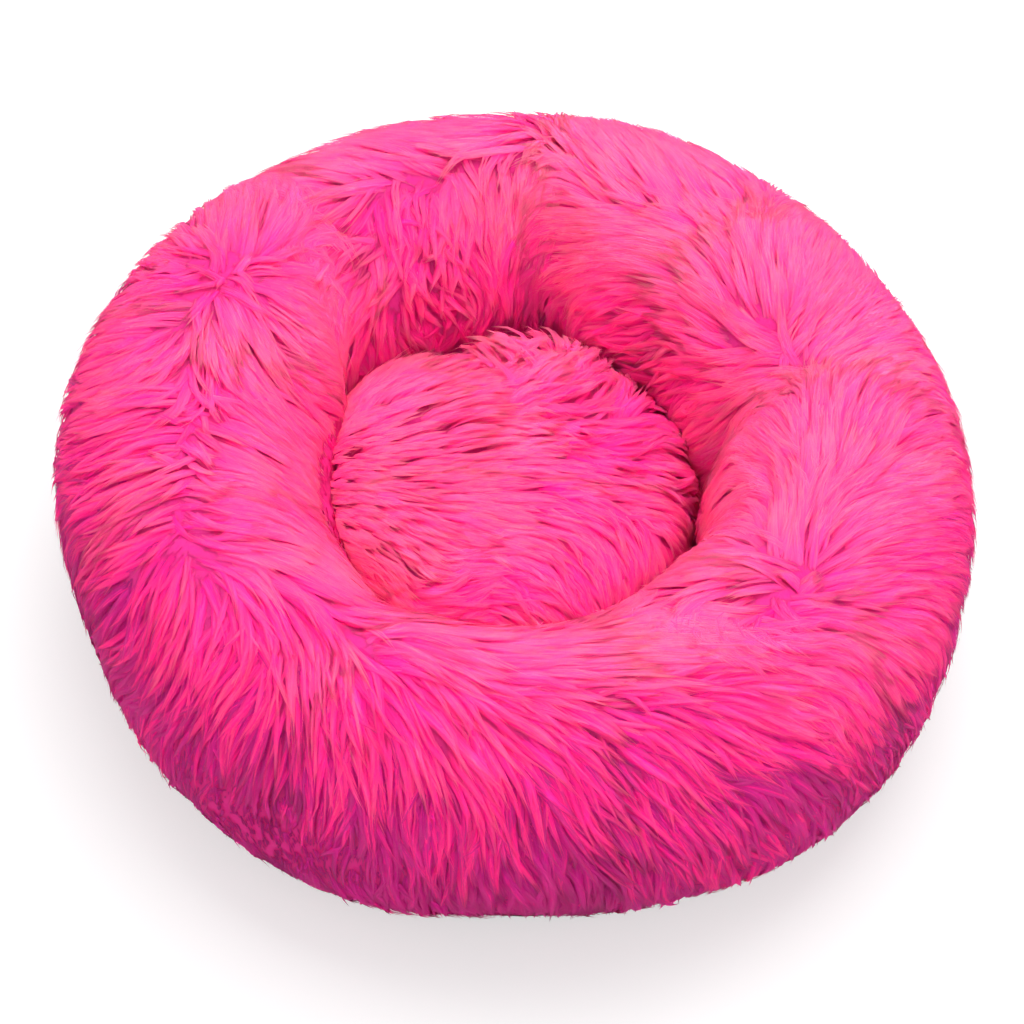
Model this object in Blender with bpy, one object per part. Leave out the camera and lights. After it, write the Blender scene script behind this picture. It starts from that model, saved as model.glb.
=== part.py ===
import math

import bmesh
import bpy

# Driving sizes of the bed, in metres.
BED_RADIUS = 0.250
BED_HEIGHT = 0.180
BOLSTER_WIDTH = 0.150
BOLSTER_PLUSH_THICKNESS = 0.012
LINER_THICKNESS = 0.0012
LINER_SLIT_WIDTH = 0.012
BASE_THICKNESS = 0.008
BINDING_WIDTH = 0.003
BINDING_LIFT = 0.0004
FLOOR_WADDING_THICKNESS = 0.008
FLOOR_CLOTH_THICKNESS = 0.0012

# The loose cushion in the well.
CUSHION_THICKNESS = 0.092
CUSHION_PLUSH_THICKNESS = 0.012
UNDER_CLOTH_THICKNESS = 0.0015
CUSHION_SIDE_GAP = 0.002

# The zip in the seam of the base, which runs along X.
ZIP_END_MARGIN = 0.005
TAPE_WIDTH = 0.013
TAPE_THICKNESS = 0.0008
TAPE_TAIL = 0.008
COIL_WIDTH = 0.0026
COIL_HEIGHT = 0.0022
COIL_GAP = 0.0016
STOP_LENGTH = 0.0028
BASE_SLOT_WIDTH = 0.014
BASE_SLOT_END_GAP = 0.004

# The slider and its pull.
SLIDER_LENGTH = 0.009
SLIDER_WALL = 0.0009
SLIDER_PLATE = 0.0012
SLIDER_RUNNING_GAP = 0.0004
SLIDER_NOSE_LENGTH = 0.003
BAIL_OPENING_LENGTH = 0.0032
BAIL_OPENING_HEIGHT = 0.0020
BAIL_THICKNESS = 0.0009
BAIL_WIDTH = 0.0018
PULL_LENGTH = 0.018
PULL_WIDTH = 0.0062
PULL_THICKNESS = 0.0012
PULL_BAR_WIDTH = 0.0013
PULL_GRIP_HOLE_LENGTH = 0.006
PULL_GRIP_HOLE_WIDTH = 0.0024
SMALL_ROUNDING = 0.0003

# Fits and cutting.
CLEARANCE = 0.0003
SOFT_CLEARANCE = 0.0007
OVERRUN = 0.002

# Fullness of the rounded sections: 2 is an ellipse, more is squarer.
UPPER_FULLNESS = 2.1
LOWER_FULLNESS = 2.1
CUSHION_UPPER_FULLNESS = 3.2
CUSHION_LOWER_FULLNESS = 2.6

# The widest ring of the cushion lies at this share of its thickness, and its sides would close
# at this share more than the depth below that ring.
CUSHION_GIRTH_SHARE = 0.42
CUSHION_FOOT_SHARE = 1.08

# The bed's outline is pulled out towards the front right and the back left by this share of half
# the bolster's width, and drawn in across that by as much.
OUTLINE_OVAL_SHARE = 0.093

# Each fold in the bolster, which runs over the crest and down into the well: its bearing on the
# outer side and in the well, its half width and the section angle at which it starts, all in
# degrees, and its depth as a share of the distance from the core.
FOLD_DEPTH_SHARES = (
    (129, 143, 8, 45, 0.24),
    (83, 80, 8, 50, 0.26),
    (25, 4, 9, 5, 0.15),
    (-34, -22, 10, 20, 0.09),
    (246, 232, 10, 60, 0.07),
)
FOLD_OUTER_ANGLE = 25
FOLD_WELL_ANGLE = 200
FOLD_RUN_IN_ANGLE = 45
FOLD_FADE_OUT_ANGLES = (195, 225)

# Each layer under the plush takes the folds deeper and wider than the layer round it, by this
# share, which keeps the two clear of each other there.
LAYER_FOLD_SHARE = 0.1

# Facets round the bed, round the cushion and along the sections.
BOLSTER_STEP_COUNT = 60
CUSHION_STEP_COUNT = 48
SKIN_POINT_COUNT = 13
LAYER_POINT_COUNT = 7
CUSHION_SKIN_POINT_COUNT = 9
CUSHION_LAYER_POINT_COUNT = 6

CORE_RADIUS = BED_RADIUS - BOLSTER_WIDTH / 2
CORE_HEIGHT = BED_HEIGHT / 2
BASE_TOP = BASE_THICKNESS + CLEARANCE

# Where the bolster's rounded sides meet the base, as a section angle below the core's level.
FOOT_ANGLE = math.asin(((CORE_HEIGHT - BASE_TOP) / CORE_HEIGHT) ** (LOWER_FULLNESS / 2))
FOOT_HALF_WIDTH = BOLSTER_WIDTH / 2 * math.cos(FOOT_ANGLE) ** (2 / LOWER_FULLNESS)

ZIP_LENGTH = 2 * (CORE_RADIUS - FOOT_HALF_WIDTH - TAPE_TAIL - ZIP_END_MARGIN)
TAPE_BOTTOM = BASE_TOP
TAPE_TOP = TAPE_BOTTOM + TAPE_THICKNESS
COIL_TOP = TAPE_BOTTOM - CLEARANCE
COIL_BOTTOM = COIL_TOP - COIL_HEIGHT
COIL_OUTER = COIL_GAP / 2 + COIL_WIDTH

SLIDER_INNER_HALF_WIDTH = COIL_OUTER + SLIDER_RUNNING_GAP
SLIDER_HALF_WIDTH = SLIDER_INNER_HALF_WIDTH + SLIDER_WALL
SLIDER_CHANNEL_BOTTOM = COIL_BOTTOM - SLIDER_RUNNING_GAP
SLIDER_BOTTOM = SLIDER_CHANNEL_BOTTOM - SLIDER_PLATE
SLIDER_TOP_PLATE_BOTTOM = TAPE_TOP + CLEARANCE
SLIDER_TOP = SLIDER_TOP_PLATE_BOTTOM + SLIDER_PLATE
SLIDER_POST_HALF_WIDTH = COIL_GAP / 2 - SLIDER_RUNNING_GAP
SLIDER_REST = ZIP_LENGTH / 2 - SLIDER_LENGTH / 2 - CLEARANCE
PIVOT_HEIGHT = SLIDER_BOTTOM - BAIL_OPENING_HEIGHT / 2

FLOOR_WADDING_BOTTOM = TAPE_TOP + CLEARANCE
FLOOR_WADDING_TOP = FLOOR_WADDING_BOTTOM + FLOOR_WADDING_THICKNESS
FLOOR_CLOTH_BOTTOM = FLOOR_WADDING_TOP + CLEARANCE
FLOOR_CLOTH_TOP = FLOOR_CLOTH_BOTTOM + FLOOR_CLOTH_THICKNESS

CUSHION_BOTTOM = FLOOR_CLOTH_TOP + CLEARANCE
CUSHION_RADIUS = BED_RADIUS - BOLSTER_WIDTH - CUSHION_SIDE_GAP
CUSHION_GIRTH = CUSHION_BOTTOM + CUSHION_THICKNESS * CUSHION_GIRTH_SHARE
CUSHION_RISE = CUSHION_BOTTOM + CUSHION_THICKNESS - CUSHION_GIRTH
CUSHION_DEPTH = (CUSHION_GIRTH - CUSHION_BOTTOM) * CUSHION_FOOT_SHARE


def signed_power(value, power):
    return math.copysign(abs(value) ** power, value)


def smooth_step(value):
    value = min(max(value, 0), 1)
    return value * value * (3 - 2 * value)


# The section angle, below the level of the core, at which a rounded side meets the height given.
def foot_angle(drop, depth, fullness):
    return math.asin(min((drop / depth) ** (fullness / 2), 1))


# One point of the bolster's section, out from its core and up from it. The lower half keeps its
# whole depth at every inset, so that each layer stands on the base.
def bolster_point(angle, inset, floor):
    upper = math.sin(angle) >= 0
    fullness = UPPER_FULLNESS if upper else LOWER_FULLNESS
    rise = CORE_HEIGHT - inset if upper else CORE_HEIGHT
    out = (BOLSTER_WIDTH / 2 - inset) * signed_power(math.cos(angle), 2 / fullness)
    up = rise * signed_power(math.sin(angle), 2 / fullness)
    return CORE_RADIUS + out, max(CORE_HEIGHT + up, floor)


# Points from the outer foot over the crest to the foot in the well, evenly spread. Every layer
# has its points at the same angles, so that its facets stay inside those of the layer round it.
def bolster_arc(inset, floor, count):
    sweep = math.pi + 2 * FOOT_ANGLE
    return [bolster_point(-FOOT_ANGLE + sweep * i / (count - 1), inset, floor) for i in range(count)]


# How far the folds draw a point of the bolster towards its core, as a factor on its distance.
def fold_squeeze(bearing, section_angle, fold_scale):
    turn = math.degrees(section_angle) % 360
    if turn > 270:
        turn -= 360
    along = (turn - FOLD_OUTER_ANGLE) / (FOLD_WELL_ANGLE - FOLD_OUTER_ANGLE)
    along = min(max(along, 0), 1)
    low, high = FOLD_FADE_OUT_ANGLES
    fade = smooth_step((high - turn) / (high - low))
    depth = 0
    for outer, well, half_width, start, share in FOLD_DEPTH_SHARES:
        away = math.degrees(bearing) - (outer + (well - outer) * along)
        away = (away + 180) % 360 - 180
        run_in = smooth_step((turn - start) / FOLD_RUN_IN_ANGLE)
        depth += share * run_in * math.exp(-((away / (half_width * fold_scale)) ** 2))
    return 1 - depth * fold_scale * fade


# Draws the bolster in at its folds and makes its outline slightly oval. Points are moved in
# proportion to their distance from the core, so the layers stay nested.
def shape_bolster(shape, fold_scale=1):
    for vert in shape.verts:
        bearing = math.atan2(vert.co.y, vert.co.x)
        out = math.hypot(vert.co.x, vert.co.y) - CORE_RADIUS
        up = vert.co.z - CORE_HEIGHT
        squeeze = fold_squeeze(bearing, math.atan2(up, out), fold_scale)
        if out > 0:
            out *= 1 - OUTLINE_OVAL_SHARE * math.sin(2 * bearing)
        if up > 0:
            up *= squeeze
        radius = CORE_RADIUS + out * squeeze
        vert.co = (radius * math.cos(bearing), radius * math.sin(bearing), CORE_HEIGHT + up)


# The radius of the well at a height below the bolster's core.
def well_radius(height):
    foot = foot_angle(CORE_HEIGHT - height, CORE_HEIGHT, LOWER_FULLNESS)
    return CORE_RADIUS - BOLSTER_WIDTH / 2 * math.cos(foot) ** (2 / LOWER_FULLNESS)


def cushion_point(angle, inset, floor):
    upper = angle >= 0
    fullness = CUSHION_UPPER_FULLNESS if upper else CUSHION_LOWER_FULLNESS
    rise = CUSHION_RISE - inset if upper else CUSHION_DEPTH
    out = (CUSHION_RADIUS - inset) * signed_power(math.cos(angle), 2 / fullness)
    up = rise * signed_power(math.sin(angle), 2 / fullness)
    return out, max(CUSHION_GIRTH + up, floor)


# Points from the cushion's foot up over its girth to the crown, which lies on the axis.
def cushion_arc(inset, floor, count):
    foot = foot_angle(CUSHION_GIRTH - CUSHION_BOTTOM, CUSHION_DEPTH, CUSHION_LOWER_FULLNESS)
    sweep = math.pi / 2 + foot
    arc = [cushion_point(-foot + sweep * i / (count - 1), inset, floor) for i in range(count - 1)]
    return arc + [(0, CUSHION_GIRTH + CUSHION_RISE - inset)]


def finish(name, colour, roughness, metallic=0):
    material = bpy.data.materials.new(name)
    material.use_nodes = True
    shader = material.node_tree.nodes["Principled BSDF"]
    shader.inputs["Base Color"].default_value = (*colour, 1)
    shader.inputs["Roughness"].default_value = roughness
    shader.inputs["Metallic"].default_value = metallic
    return material


def add_object(name, shape, material, collection, smooth_angle=None):
    mesh = bpy.data.meshes.new(name)
    bmesh.ops.recalc_face_normals(shape, faces=shape.faces)
    shape.to_mesh(mesh)
    shape.free()
    if smooth_angle is not None:
        mesh.shade_smooth()
        mesh.set_sharp_from_angle(angle=math.radians(smooth_angle))
    mesh.materials.append(material)
    piece = bpy.data.objects.new(name, mesh)
    collection.objects.link(piece)
    return piece


# Turns a section of (radius, height) points round the Z axis. An open section starts and ends on
# the axis.
def turned(section, steps, closed):
    shape = bmesh.new()
    verts = [shape.verts.new((radius, 0, height)) for radius, height in section]
    edges = [shape.edges.new(pair) for pair in zip(verts, verts[1:])]
    if closed:
        edges.append(shape.edges.new((verts[-1], verts[0])))
    bmesh.ops.spin(
        shape,
        geom=verts + edges,
        axis=(0, 0, 1),
        angle=2 * math.pi,
        steps=steps,
        use_merge=True,
    )
    bmesh.ops.remove_doubles(shape, verts=shape.verts, dist=CLEARANCE / 100)
    return shape


def plate(outline, bottom, thickness):
    shape = bmesh.new()
    face = shape.faces.new([shape.verts.new((x, y, bottom)) for x, y in outline])
    extruded = bmesh.ops.extrude_face_region(shape, geom=[face])
    raised = [item for item in extruded["geom"] if isinstance(item, bmesh.types.BMVert)]
    bmesh.ops.translate(shape, verts=raised, vec=(0, 0, thickness))
    return shape


def block(low, high, rounding=0):
    shape = bmesh.new()
    bmesh.ops.create_cube(shape, size=1)
    middle = [(a + b) / 2 for a, b in zip(low, high)]
    bmesh.ops.scale(shape, verts=shape.verts, vec=[b - a for a, b in zip(low, high)])
    bmesh.ops.translate(shape, verts=shape.verts, vec=middle)
    if rounding:
        bmesh.ops.bevel(
            shape,
            geom=shape.edges[:],
            offset=rounding,
            segments=1,
            profile=0.5,
            affect="EDGES",
        )
    return shape


def add_cutter(name, shape, collection):
    mesh = bpy.data.meshes.new(name)
    bmesh.ops.recalc_face_normals(shape, faces=shape.faces)
    shape.to_mesh(mesh)
    shape.free()
    cutter = bpy.data.objects.new(name, mesh)
    cutter.hide_render = True
    cutter.display_type = "WIRE"
    collection.objects.link(cutter)
    return cutter


def cut(piece, cutter, operation="DIFFERENCE"):
    modifier = piece.modifiers.new(cutter.name, "BOOLEAN")
    modifier.operation = operation
    modifier.solver = "EXACT"
    modifier.object = cutter


# One layer of the bolster. Its facets are split into triangles across their shorter diagonal, so
# that in the folds they lie alike in every layer.
def bolster_layer(section, fold_scale=1):
    shape = turned(section, BOLSTER_STEP_COUNT, True)
    shape_bolster(shape, fold_scale)
    bmesh.ops.triangulate(shape, faces=shape.faces, quad_method="SHORT_EDGE")
    return shape


def make_bolster(collection):
    inset = BOLSTER_PLUSH_THICKNESS
    skin = bolster_arc(0, BASE_TOP, SKIN_POINT_COUNT)
    lining = bolster_arc(inset, BASE_TOP, LAYER_POINT_COUNT)
    add_object(
        "bolster_plush",
        bolster_layer(skin + lining[::-1]),
        finish("bolster_pile", (0.96, 0.07, 0.27), 0.6),
        collection,
        60,
    )

    inset += SOFT_CLEARANCE
    outer = bolster_arc(inset, BASE_TOP, LAYER_POINT_COUNT)
    liner_floor = BASE_TOP + LINER_THICKNESS
    inner = bolster_arc(inset + LINER_THICKNESS, liner_floor, LAYER_POINT_COUNT)
    slit_out = CORE_RADIUS + LINER_SLIT_WIDTH / 2
    slit_in = CORE_RADIUS - LINER_SLIT_WIDTH / 2
    bag = [(slit_out, BASE_TOP), *outer, (slit_in, BASE_TOP)]
    bag += [(slit_in, liner_floor), *inner[::-1], (slit_out, liner_floor)]
    add_object(
        "bolster_liner",
        bolster_layer(bag, 1 + LAYER_FOLD_SHARE),
        finish("liner_cloth", (0.8, 0.8, 0.78), 0.8),
        collection,
        60,
    )

    inset += LINER_THICKNESS + SOFT_CLEARANCE
    fill = bolster_arc(inset, liner_floor + CLEARANCE, LAYER_POINT_COUNT)
    add_object(
        "bolster_fill",
        bolster_layer(fill, 1 + 2 * LAYER_FOLD_SHARE),
        finish("hollow_fibre", (0.9, 0.9, 0.88), 0.9),
        collection,
        60,
    )


# The base's outline follows the bolster's outer foot.
def base_radius(bearing, inset):
    return CORE_RADIUS + FOOT_HALF_WIDTH * (1 - OUTLINE_OVAL_SHARE * math.sin(2 * bearing)) - inset


def make_base(collection):
    panel_inset = BINDING_WIDTH + CLEARANCE
    slot_end = ZIP_LENGTH / 2 + BASE_SLOT_END_GAP
    half_steps = BOLSTER_STEP_COUNT // 2
    for name, side in (("base_panel_front", -1), ("base_panel_back", 1)):
        seam = side * CLEARANCE / 2
        slot = side * BASE_SLOT_WIDTH / 2
        arc = []
        for step in range(half_steps + 1):
            bearing = side * math.pi * step / half_steps
            radius = base_radius(bearing, panel_inset)
            arc.append((radius * math.cos(bearing), seam + radius * math.sin(bearing)))
        notch = [(-slot_end, seam), (-slot_end, slot), (slot_end, slot), (slot_end, seam)]
        add_object(
            name,
            plate(arc + notch, 0, BASE_THICKNESS),
            finish(name + "_cloth", (0.012, 0.012, 0.014), 0.75),
            collection,
        )

    low = base_radius(0, BINDING_WIDTH)
    high = base_radius(0, 0)
    tape = [(low, BINDING_LIFT), (high, BINDING_LIFT), (high, BASE_THICKNESS), (low, BASE_THICKNESS)]
    binding = turned(tape, BOLSTER_STEP_COUNT, True)
    for vert in binding.verts:
        bearing = math.atan2(vert.co.y, vert.co.x)
        across = high - math.hypot(vert.co.x, vert.co.y)
        radius = base_radius(bearing, across)
        vert.co.x = radius * math.cos(bearing)
        vert.co.y = radius * math.sin(bearing)
    add_object("base_binding", binding, finish("binding_tape", (0.02, 0.02, 0.023), 0.7), collection)


def make_well_floor(collection, cutters):
    top_radius = well_radius(FLOOR_WADDING_TOP) - SOFT_CLEARANCE
    bottom_radius = well_radius(FLOOR_WADDING_BOTTOM) - SOFT_CLEARANCE
    section = [
        (0, FLOOR_WADDING_TOP),
        (top_radius, FLOOR_WADDING_TOP),
        (bottom_radius, FLOOR_WADDING_BOTTOM),
        (0, FLOOR_WADDING_BOTTOM),
    ]
    wadding = add_object(
        "well_floor_wadding",
        turned(section, CUSHION_STEP_COUNT, False),
        finish("wadding", (0.88, 0.88, 0.86), 0.9),
        collection,
    )
    channel_half = SLIDER_HALF_WIDTH + SLIDER_RUNNING_GAP
    channel_end = ZIP_LENGTH / 2
    channel = block(
        (-channel_end, -channel_half, FLOOR_WADDING_BOTTOM - OVERRUN),
        (channel_end, channel_half, SLIDER_TOP + SLIDER_RUNNING_GAP),
    )
    cut(wadding, add_cutter("slider_channel_cut", channel, cutters))

    cloth_radius = well_radius(FLOOR_CLOTH_TOP) - SOFT_CLEARANCE
    section = [
        (0, FLOOR_CLOTH_TOP),
        (cloth_radius, FLOOR_CLOTH_TOP),
        (cloth_radius, FLOOR_CLOTH_BOTTOM),
        (0, FLOOR_CLOTH_BOTTOM),
    ]
    add_object(
        "well_floor_cloth",
        turned(section, CUSHION_STEP_COUNT, False),
        finish("floor_cloth", (0.6, 0.06, 0.2), 0.8),
        collection,
    )


def make_zip(collection):
    tape_end = ZIP_LENGTH / 2 + TAPE_TAIL
    for name, side in (("front", -1), ("back", 1)):
        inner = side * COIL_GAP / 2
        outer = side * (COIL_GAP / 2 + TAPE_WIDTH)
        low, high = sorted((inner, outer))
        add_object(
            "zip_tape_" + name,
            block((-tape_end, low, TAPE_BOTTOM), (tape_end, high, TAPE_TOP)),
            finish("zip_tape_cloth_" + name, (0.02, 0.02, 0.022), 0.8),
            collection,
        )
        low, high = sorted((inner, side * COIL_OUTER))
        add_object(
            "zip_coil_" + name,
            block((-ZIP_LENGTH / 2, low, COIL_BOTTOM), (ZIP_LENGTH / 2, high, COIL_TOP)),
            finish("zip_coil_plastic_" + name, (0.03, 0.03, 0.033), 0.4),
            collection,
        )
        stop_start = ZIP_LENGTH / 2 + CLEARANCE
        add_object(
            "zip_top_stop_" + name,
            block(
                (stop_start, low, COIL_BOTTOM),
                (stop_start + STOP_LENGTH, high, COIL_TOP),
                SMALL_ROUNDING,
            ),
            finish("stop_metal_" + name, (0.55, 0.55, 0.56), 0.35, 1),
            collection,
        )
    stop_start = -ZIP_LENGTH / 2 - CLEARANCE
    add_object(
        "zip_bottom_stop",
        block(
            (stop_start - STOP_LENGTH, -COIL_OUTER, COIL_BOTTOM),
            (stop_start, COIL_OUTER, COIL_TOP),
            SMALL_ROUNDING,
        ),
        finish("bottom_stop_metal", (0.55, 0.55, 0.56), 0.35, 1),
        collection,
    )


def make_slider(collection, cutters):
    half = SLIDER_LENGTH / 2
    body = block(
        (-half, -SLIDER_HALF_WIDTH, SLIDER_BOTTOM),
        (half, SLIDER_HALF_WIDTH, SLIDER_TOP),
        SMALL_ROUNDING,
    )
    slider = add_object("zip_slider", body, finish("slider_metal", (0.55, 0.55, 0.56), 0.3, 1), collection)

    # The two chains run in channels either side of the nose post, and the tapes in slits above.
    post_start = half - SLIDER_NOSE_LENGTH
    spans = (
        ("front", -half - OVERRUN, half + OVERRUN, -1),
        ("back", -half - OVERRUN, half + OVERRUN, 1),
        ("tail", -half - OVERRUN, post_start, 0),
    )
    for name, start, end, side in spans:
        inner = side * SLIDER_POST_HALF_WIDTH if side else -SLIDER_POST_HALF_WIDTH - SMALL_ROUNDING
        chain = side * SLIDER_INNER_HALF_WIDTH if side else -inner
        tape = side * (SLIDER_HALF_WIDTH + OVERRUN) if side else -inner
        low, high = sorted((inner, chain))
        channel = block((start, low, SLIDER_CHANNEL_BOTTOM), (end, high, COIL_TOP + CLEARANCE / 2))
        cut(slider, add_cutter("slider_chain_cut_" + name, channel, cutters))
        low, high = sorted((inner, tape))
        slit = block((start, low, COIL_TOP), (end, high, SLIDER_TOP_PLATE_BOTTOM))
        cut(slider, add_cutter("slider_tape_cut_" + name, slit, cutters))

    # The bail under the slider is an arch that carries the pull's bar.
    foot = BAIL_OPENING_LENGTH / 2 + BAIL_THICKNESS
    arch = block(
        (-foot, -BAIL_WIDTH / 2, SLIDER_BOTTOM - BAIL_OPENING_HEIGHT - BAIL_THICKNESS),
        (foot, BAIL_WIDTH / 2, SLIDER_BOTTOM + SLIDER_PLATE / 2),
    )
    cut(slider, add_cutter("bail_add", arch, cutters), "UNION")
    opening = block(
        (-BAIL_OPENING_LENGTH / 2, -BAIL_WIDTH / 2 - OVERRUN, SLIDER_BOTTOM - BAIL_OPENING_HEIGHT),
        (BAIL_OPENING_LENGTH / 2, BAIL_WIDTH / 2 + OVERRUN, SLIDER_BOTTOM),
    )
    cut(slider, add_cutter("bail_opening_cut", opening, cutters))
    return slider


# The pull lies back along the chain, towards -X, with its bar through the bail at the origin.
def make_pull(collection, cutters):
    foot = BAIL_OPENING_LENGTH / 2 + BAIL_THICKNESS
    reach = math.hypot(foot, BAIL_OPENING_HEIGHT / 2 + BAIL_THICKNESS) + SLIDER_RUNNING_GAP
    half_bar = PULL_BAR_WIDTH / 2
    half_width = PULL_WIDTH / 2
    end = half_bar - PULL_LENGTH
    corner = half_width / 2
    outline = [
        (half_bar, -half_width + corner),
        (half_bar, half_width - corner),
        (half_bar - corner, half_width),
        (end + corner, half_width),
        (end, half_width - corner),
        (end, -half_width + corner),
        (end + corner, -half_width),
        (half_bar - corner, -half_width),
    ]
    pull = add_object(
        "zip_pull",
        plate(outline, -PULL_THICKNESS / 2, PULL_THICKNESS),
        finish("pull_metal", (0.55, 0.55, 0.56), 0.3, 1),
        collection,
    )
    window_half = BAIL_WIDTH / 2 + SLIDER_RUNNING_GAP
    window = block(
        (-reach, -window_half, -PULL_THICKNESS),
        (-half_bar, window_half, PULL_THICKNESS),
    )
    cut(pull, add_cutter("pull_window_cut", window, cutters))
    hole_end = end + half_width
    grip_hole = block(
        (hole_end, -PULL_GRIP_HOLE_WIDTH / 2, -PULL_THICKNESS),
        (hole_end + PULL_GRIP_HOLE_LENGTH, PULL_GRIP_HOLE_WIDTH / 2, PULL_THICKNESS),
    )
    cut(pull, add_cutter("pull_grip_cut", grip_hole, cutters))
    return pull


def make_cushion(collection, holder):
    cloth_top = CUSHION_BOTTOM + UNDER_CLOTH_THICKNESS
    foot_radius = cushion_arc(0, CUSHION_BOTTOM, CUSHION_SKIN_POINT_COUNT)[0][0]
    section = [
        (0, cloth_top),
        (foot_radius, cloth_top),
        (foot_radius, CUSHION_BOTTOM),
        (0, CUSHION_BOTTOM),
    ]
    under_cloth = add_object(
        "cushion_under_cloth",
        turned(section, CUSHION_STEP_COUNT, False),
        finish("under_cloth", (0.7, 0.06, 0.22), 0.8),
        collection,
    )

    seat = cloth_top + CLEARANCE
    skin = cushion_arc(0, seat, CUSHION_SKIN_POINT_COUNT)
    lining = cushion_arc(CUSHION_PLUSH_THICKNESS, seat, CUSHION_LAYER_POINT_COUNT)
    plush = add_object(
        "cushion_plush",
        turned(skin[::-1] + lining, CUSHION_STEP_COUNT, False),
        finish("cushion_pile", (0.96, 0.07, 0.27), 0.6),
        collection,
        60,
    )

    fill_section = cushion_arc(CUSHION_PLUSH_THICKNESS + SOFT_CLEARANCE, seat, CUSHION_LAYER_POINT_COUNT)
    fill = add_object(
        "cushion_fill",
        turned(fill_section[::-1] + [(0, seat)], CUSHION_STEP_COUNT, False),
        finish("cushion_fibre", (0.9, 0.9, 0.88), 0.9),
        collection,
        60,
    )
    for piece in (under_cloth, plush, fill):
        piece.parent = holder


def add_holder(name, place, collection):
    holder = bpy.data.objects.new(name, None)
    holder.location = place
    holder.empty_display_size = BED_RADIUS / 10
    collection.objects.link(holder)
    return holder


def main():
    for item in list(bpy.data.objects):
        bpy.data.objects.remove(item, do_unlink=True)
    bed = bpy.data.collections.new("donut_pet_bed")
    cutters = bpy.data.collections.new("cutters")
    bpy.context.scene.collection.children.link(bed)
    bpy.context.scene.collection.children.link(cutters)

    make_bolster(bed)
    make_base(bed)
    make_well_floor(bed, cutters)
    make_zip(bed)
    make_cushion(bed, add_holder("cushion_lift_axis", (0, 0, 0), bed))

    chain = add_holder("zip_slide_axis", (SLIDER_REST, 0, 0), bed)
    slider = make_slider(bed, cutters)
    slider.parent = chain
    pivot = add_holder("pull_pivot", (0, 0, PIVOT_HEIGHT), bed)
    pivot.parent = chain
    pull = make_pull(bed, cutters)
    pull.parent = pivot
    for cutter in cutters.objects:
        cutter.parent = pivot if cutter.name.startswith("pull_") else chain
    cutters.objects["slider_channel_cut"].parent = None


main()
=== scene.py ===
import math

import bmesh
import bpy
import numpy as np
from mathutils import Matrix, Vector
from mathutils.bvhtree import BVHTree
from mathutils.kdtree import KDTree


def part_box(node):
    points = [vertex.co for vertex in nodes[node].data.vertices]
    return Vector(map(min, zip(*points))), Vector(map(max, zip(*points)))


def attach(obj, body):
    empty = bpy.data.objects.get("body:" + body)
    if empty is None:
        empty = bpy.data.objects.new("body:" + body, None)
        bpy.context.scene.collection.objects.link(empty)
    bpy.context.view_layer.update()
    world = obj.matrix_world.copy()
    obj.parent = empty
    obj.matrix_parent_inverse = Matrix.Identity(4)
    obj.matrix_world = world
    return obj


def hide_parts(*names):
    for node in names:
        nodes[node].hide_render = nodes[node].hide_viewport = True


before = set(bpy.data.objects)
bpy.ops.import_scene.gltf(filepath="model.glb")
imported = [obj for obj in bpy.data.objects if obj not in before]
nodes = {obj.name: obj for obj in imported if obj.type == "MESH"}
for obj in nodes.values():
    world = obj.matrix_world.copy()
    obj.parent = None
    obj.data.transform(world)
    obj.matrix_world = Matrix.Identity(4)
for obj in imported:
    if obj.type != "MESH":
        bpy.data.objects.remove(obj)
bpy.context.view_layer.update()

rng = np.random.default_rng(41)
print("stage: frame loaded")


# Camera, floor and light

view = {
    "elevation": 52.4,  # degrees above the floor
    "distance": 2.0,
    "aim": (0.0, 0.0047, 0.0736),
    "lens": 128.7,
    "sensor": 36.0,
    "frame": 1024,  # pixels of the square frame
}
rise = math.radians(view["elevation"])
eye = Vector(view["aim"]) + view["distance"] * Vector((0, -math.cos(rise), math.sin(rise)))
camera = bpy.data.objects.new("bedCamera", bpy.data.cameras.new("bedCamera"))
camera.data.lens = view["lens"]
camera.data.sensor_width = view["sensor"]
camera.location = eye
camera.rotation_euler = (math.radians(90) - rise, 0, 0)
bpy.context.scene.collection.objects.link(camera)
bpy.context.scene.camera = camera
bpy.context.scene.view_settings.view_transform = "Standard"


def pixelRay(x, y):
    reach = view["frame"] * view["lens"] / view["sensor"]
    ahead = Vector((0, math.cos(rise), -math.sin(rise)))
    up = Vector((0, math.sin(rise), math.cos(rise)))
    half = view["frame"] / 2
    return (ahead + Vector((1, 0, 0)) * (x - half) / reach + up * (half - y) / reach).normalized()


# Finishes: a wire is one socket, and sums on wires add Math nodes


class Wire:
    def __init__(self, finish, socket):
        self.finish = finish
        self.socket = socket

    def beside(self, output):  # another output of the same node
        return Wire(self.finish, self.socket.node.outputs[output])

    def __add__(self, other):
        return self.finish.maths("ADD", self, other)

    def __sub__(self, other):
        return self.finish.maths("SUBTRACT", self, other)

    def __rsub__(self, other):
        return self.finish.maths("SUBTRACT", other, self)

    def __mul__(self, other):
        return self.finish.maths("MULTIPLY", self, other)

    def __truediv__(self, other):
        return self.finish.maths("DIVIDE", self, other)

    def __pow__(self, other):
        return self.finish.maths("POWER", self, other)

    __radd__ = __add__
    __rmul__ = __mul__


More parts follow.
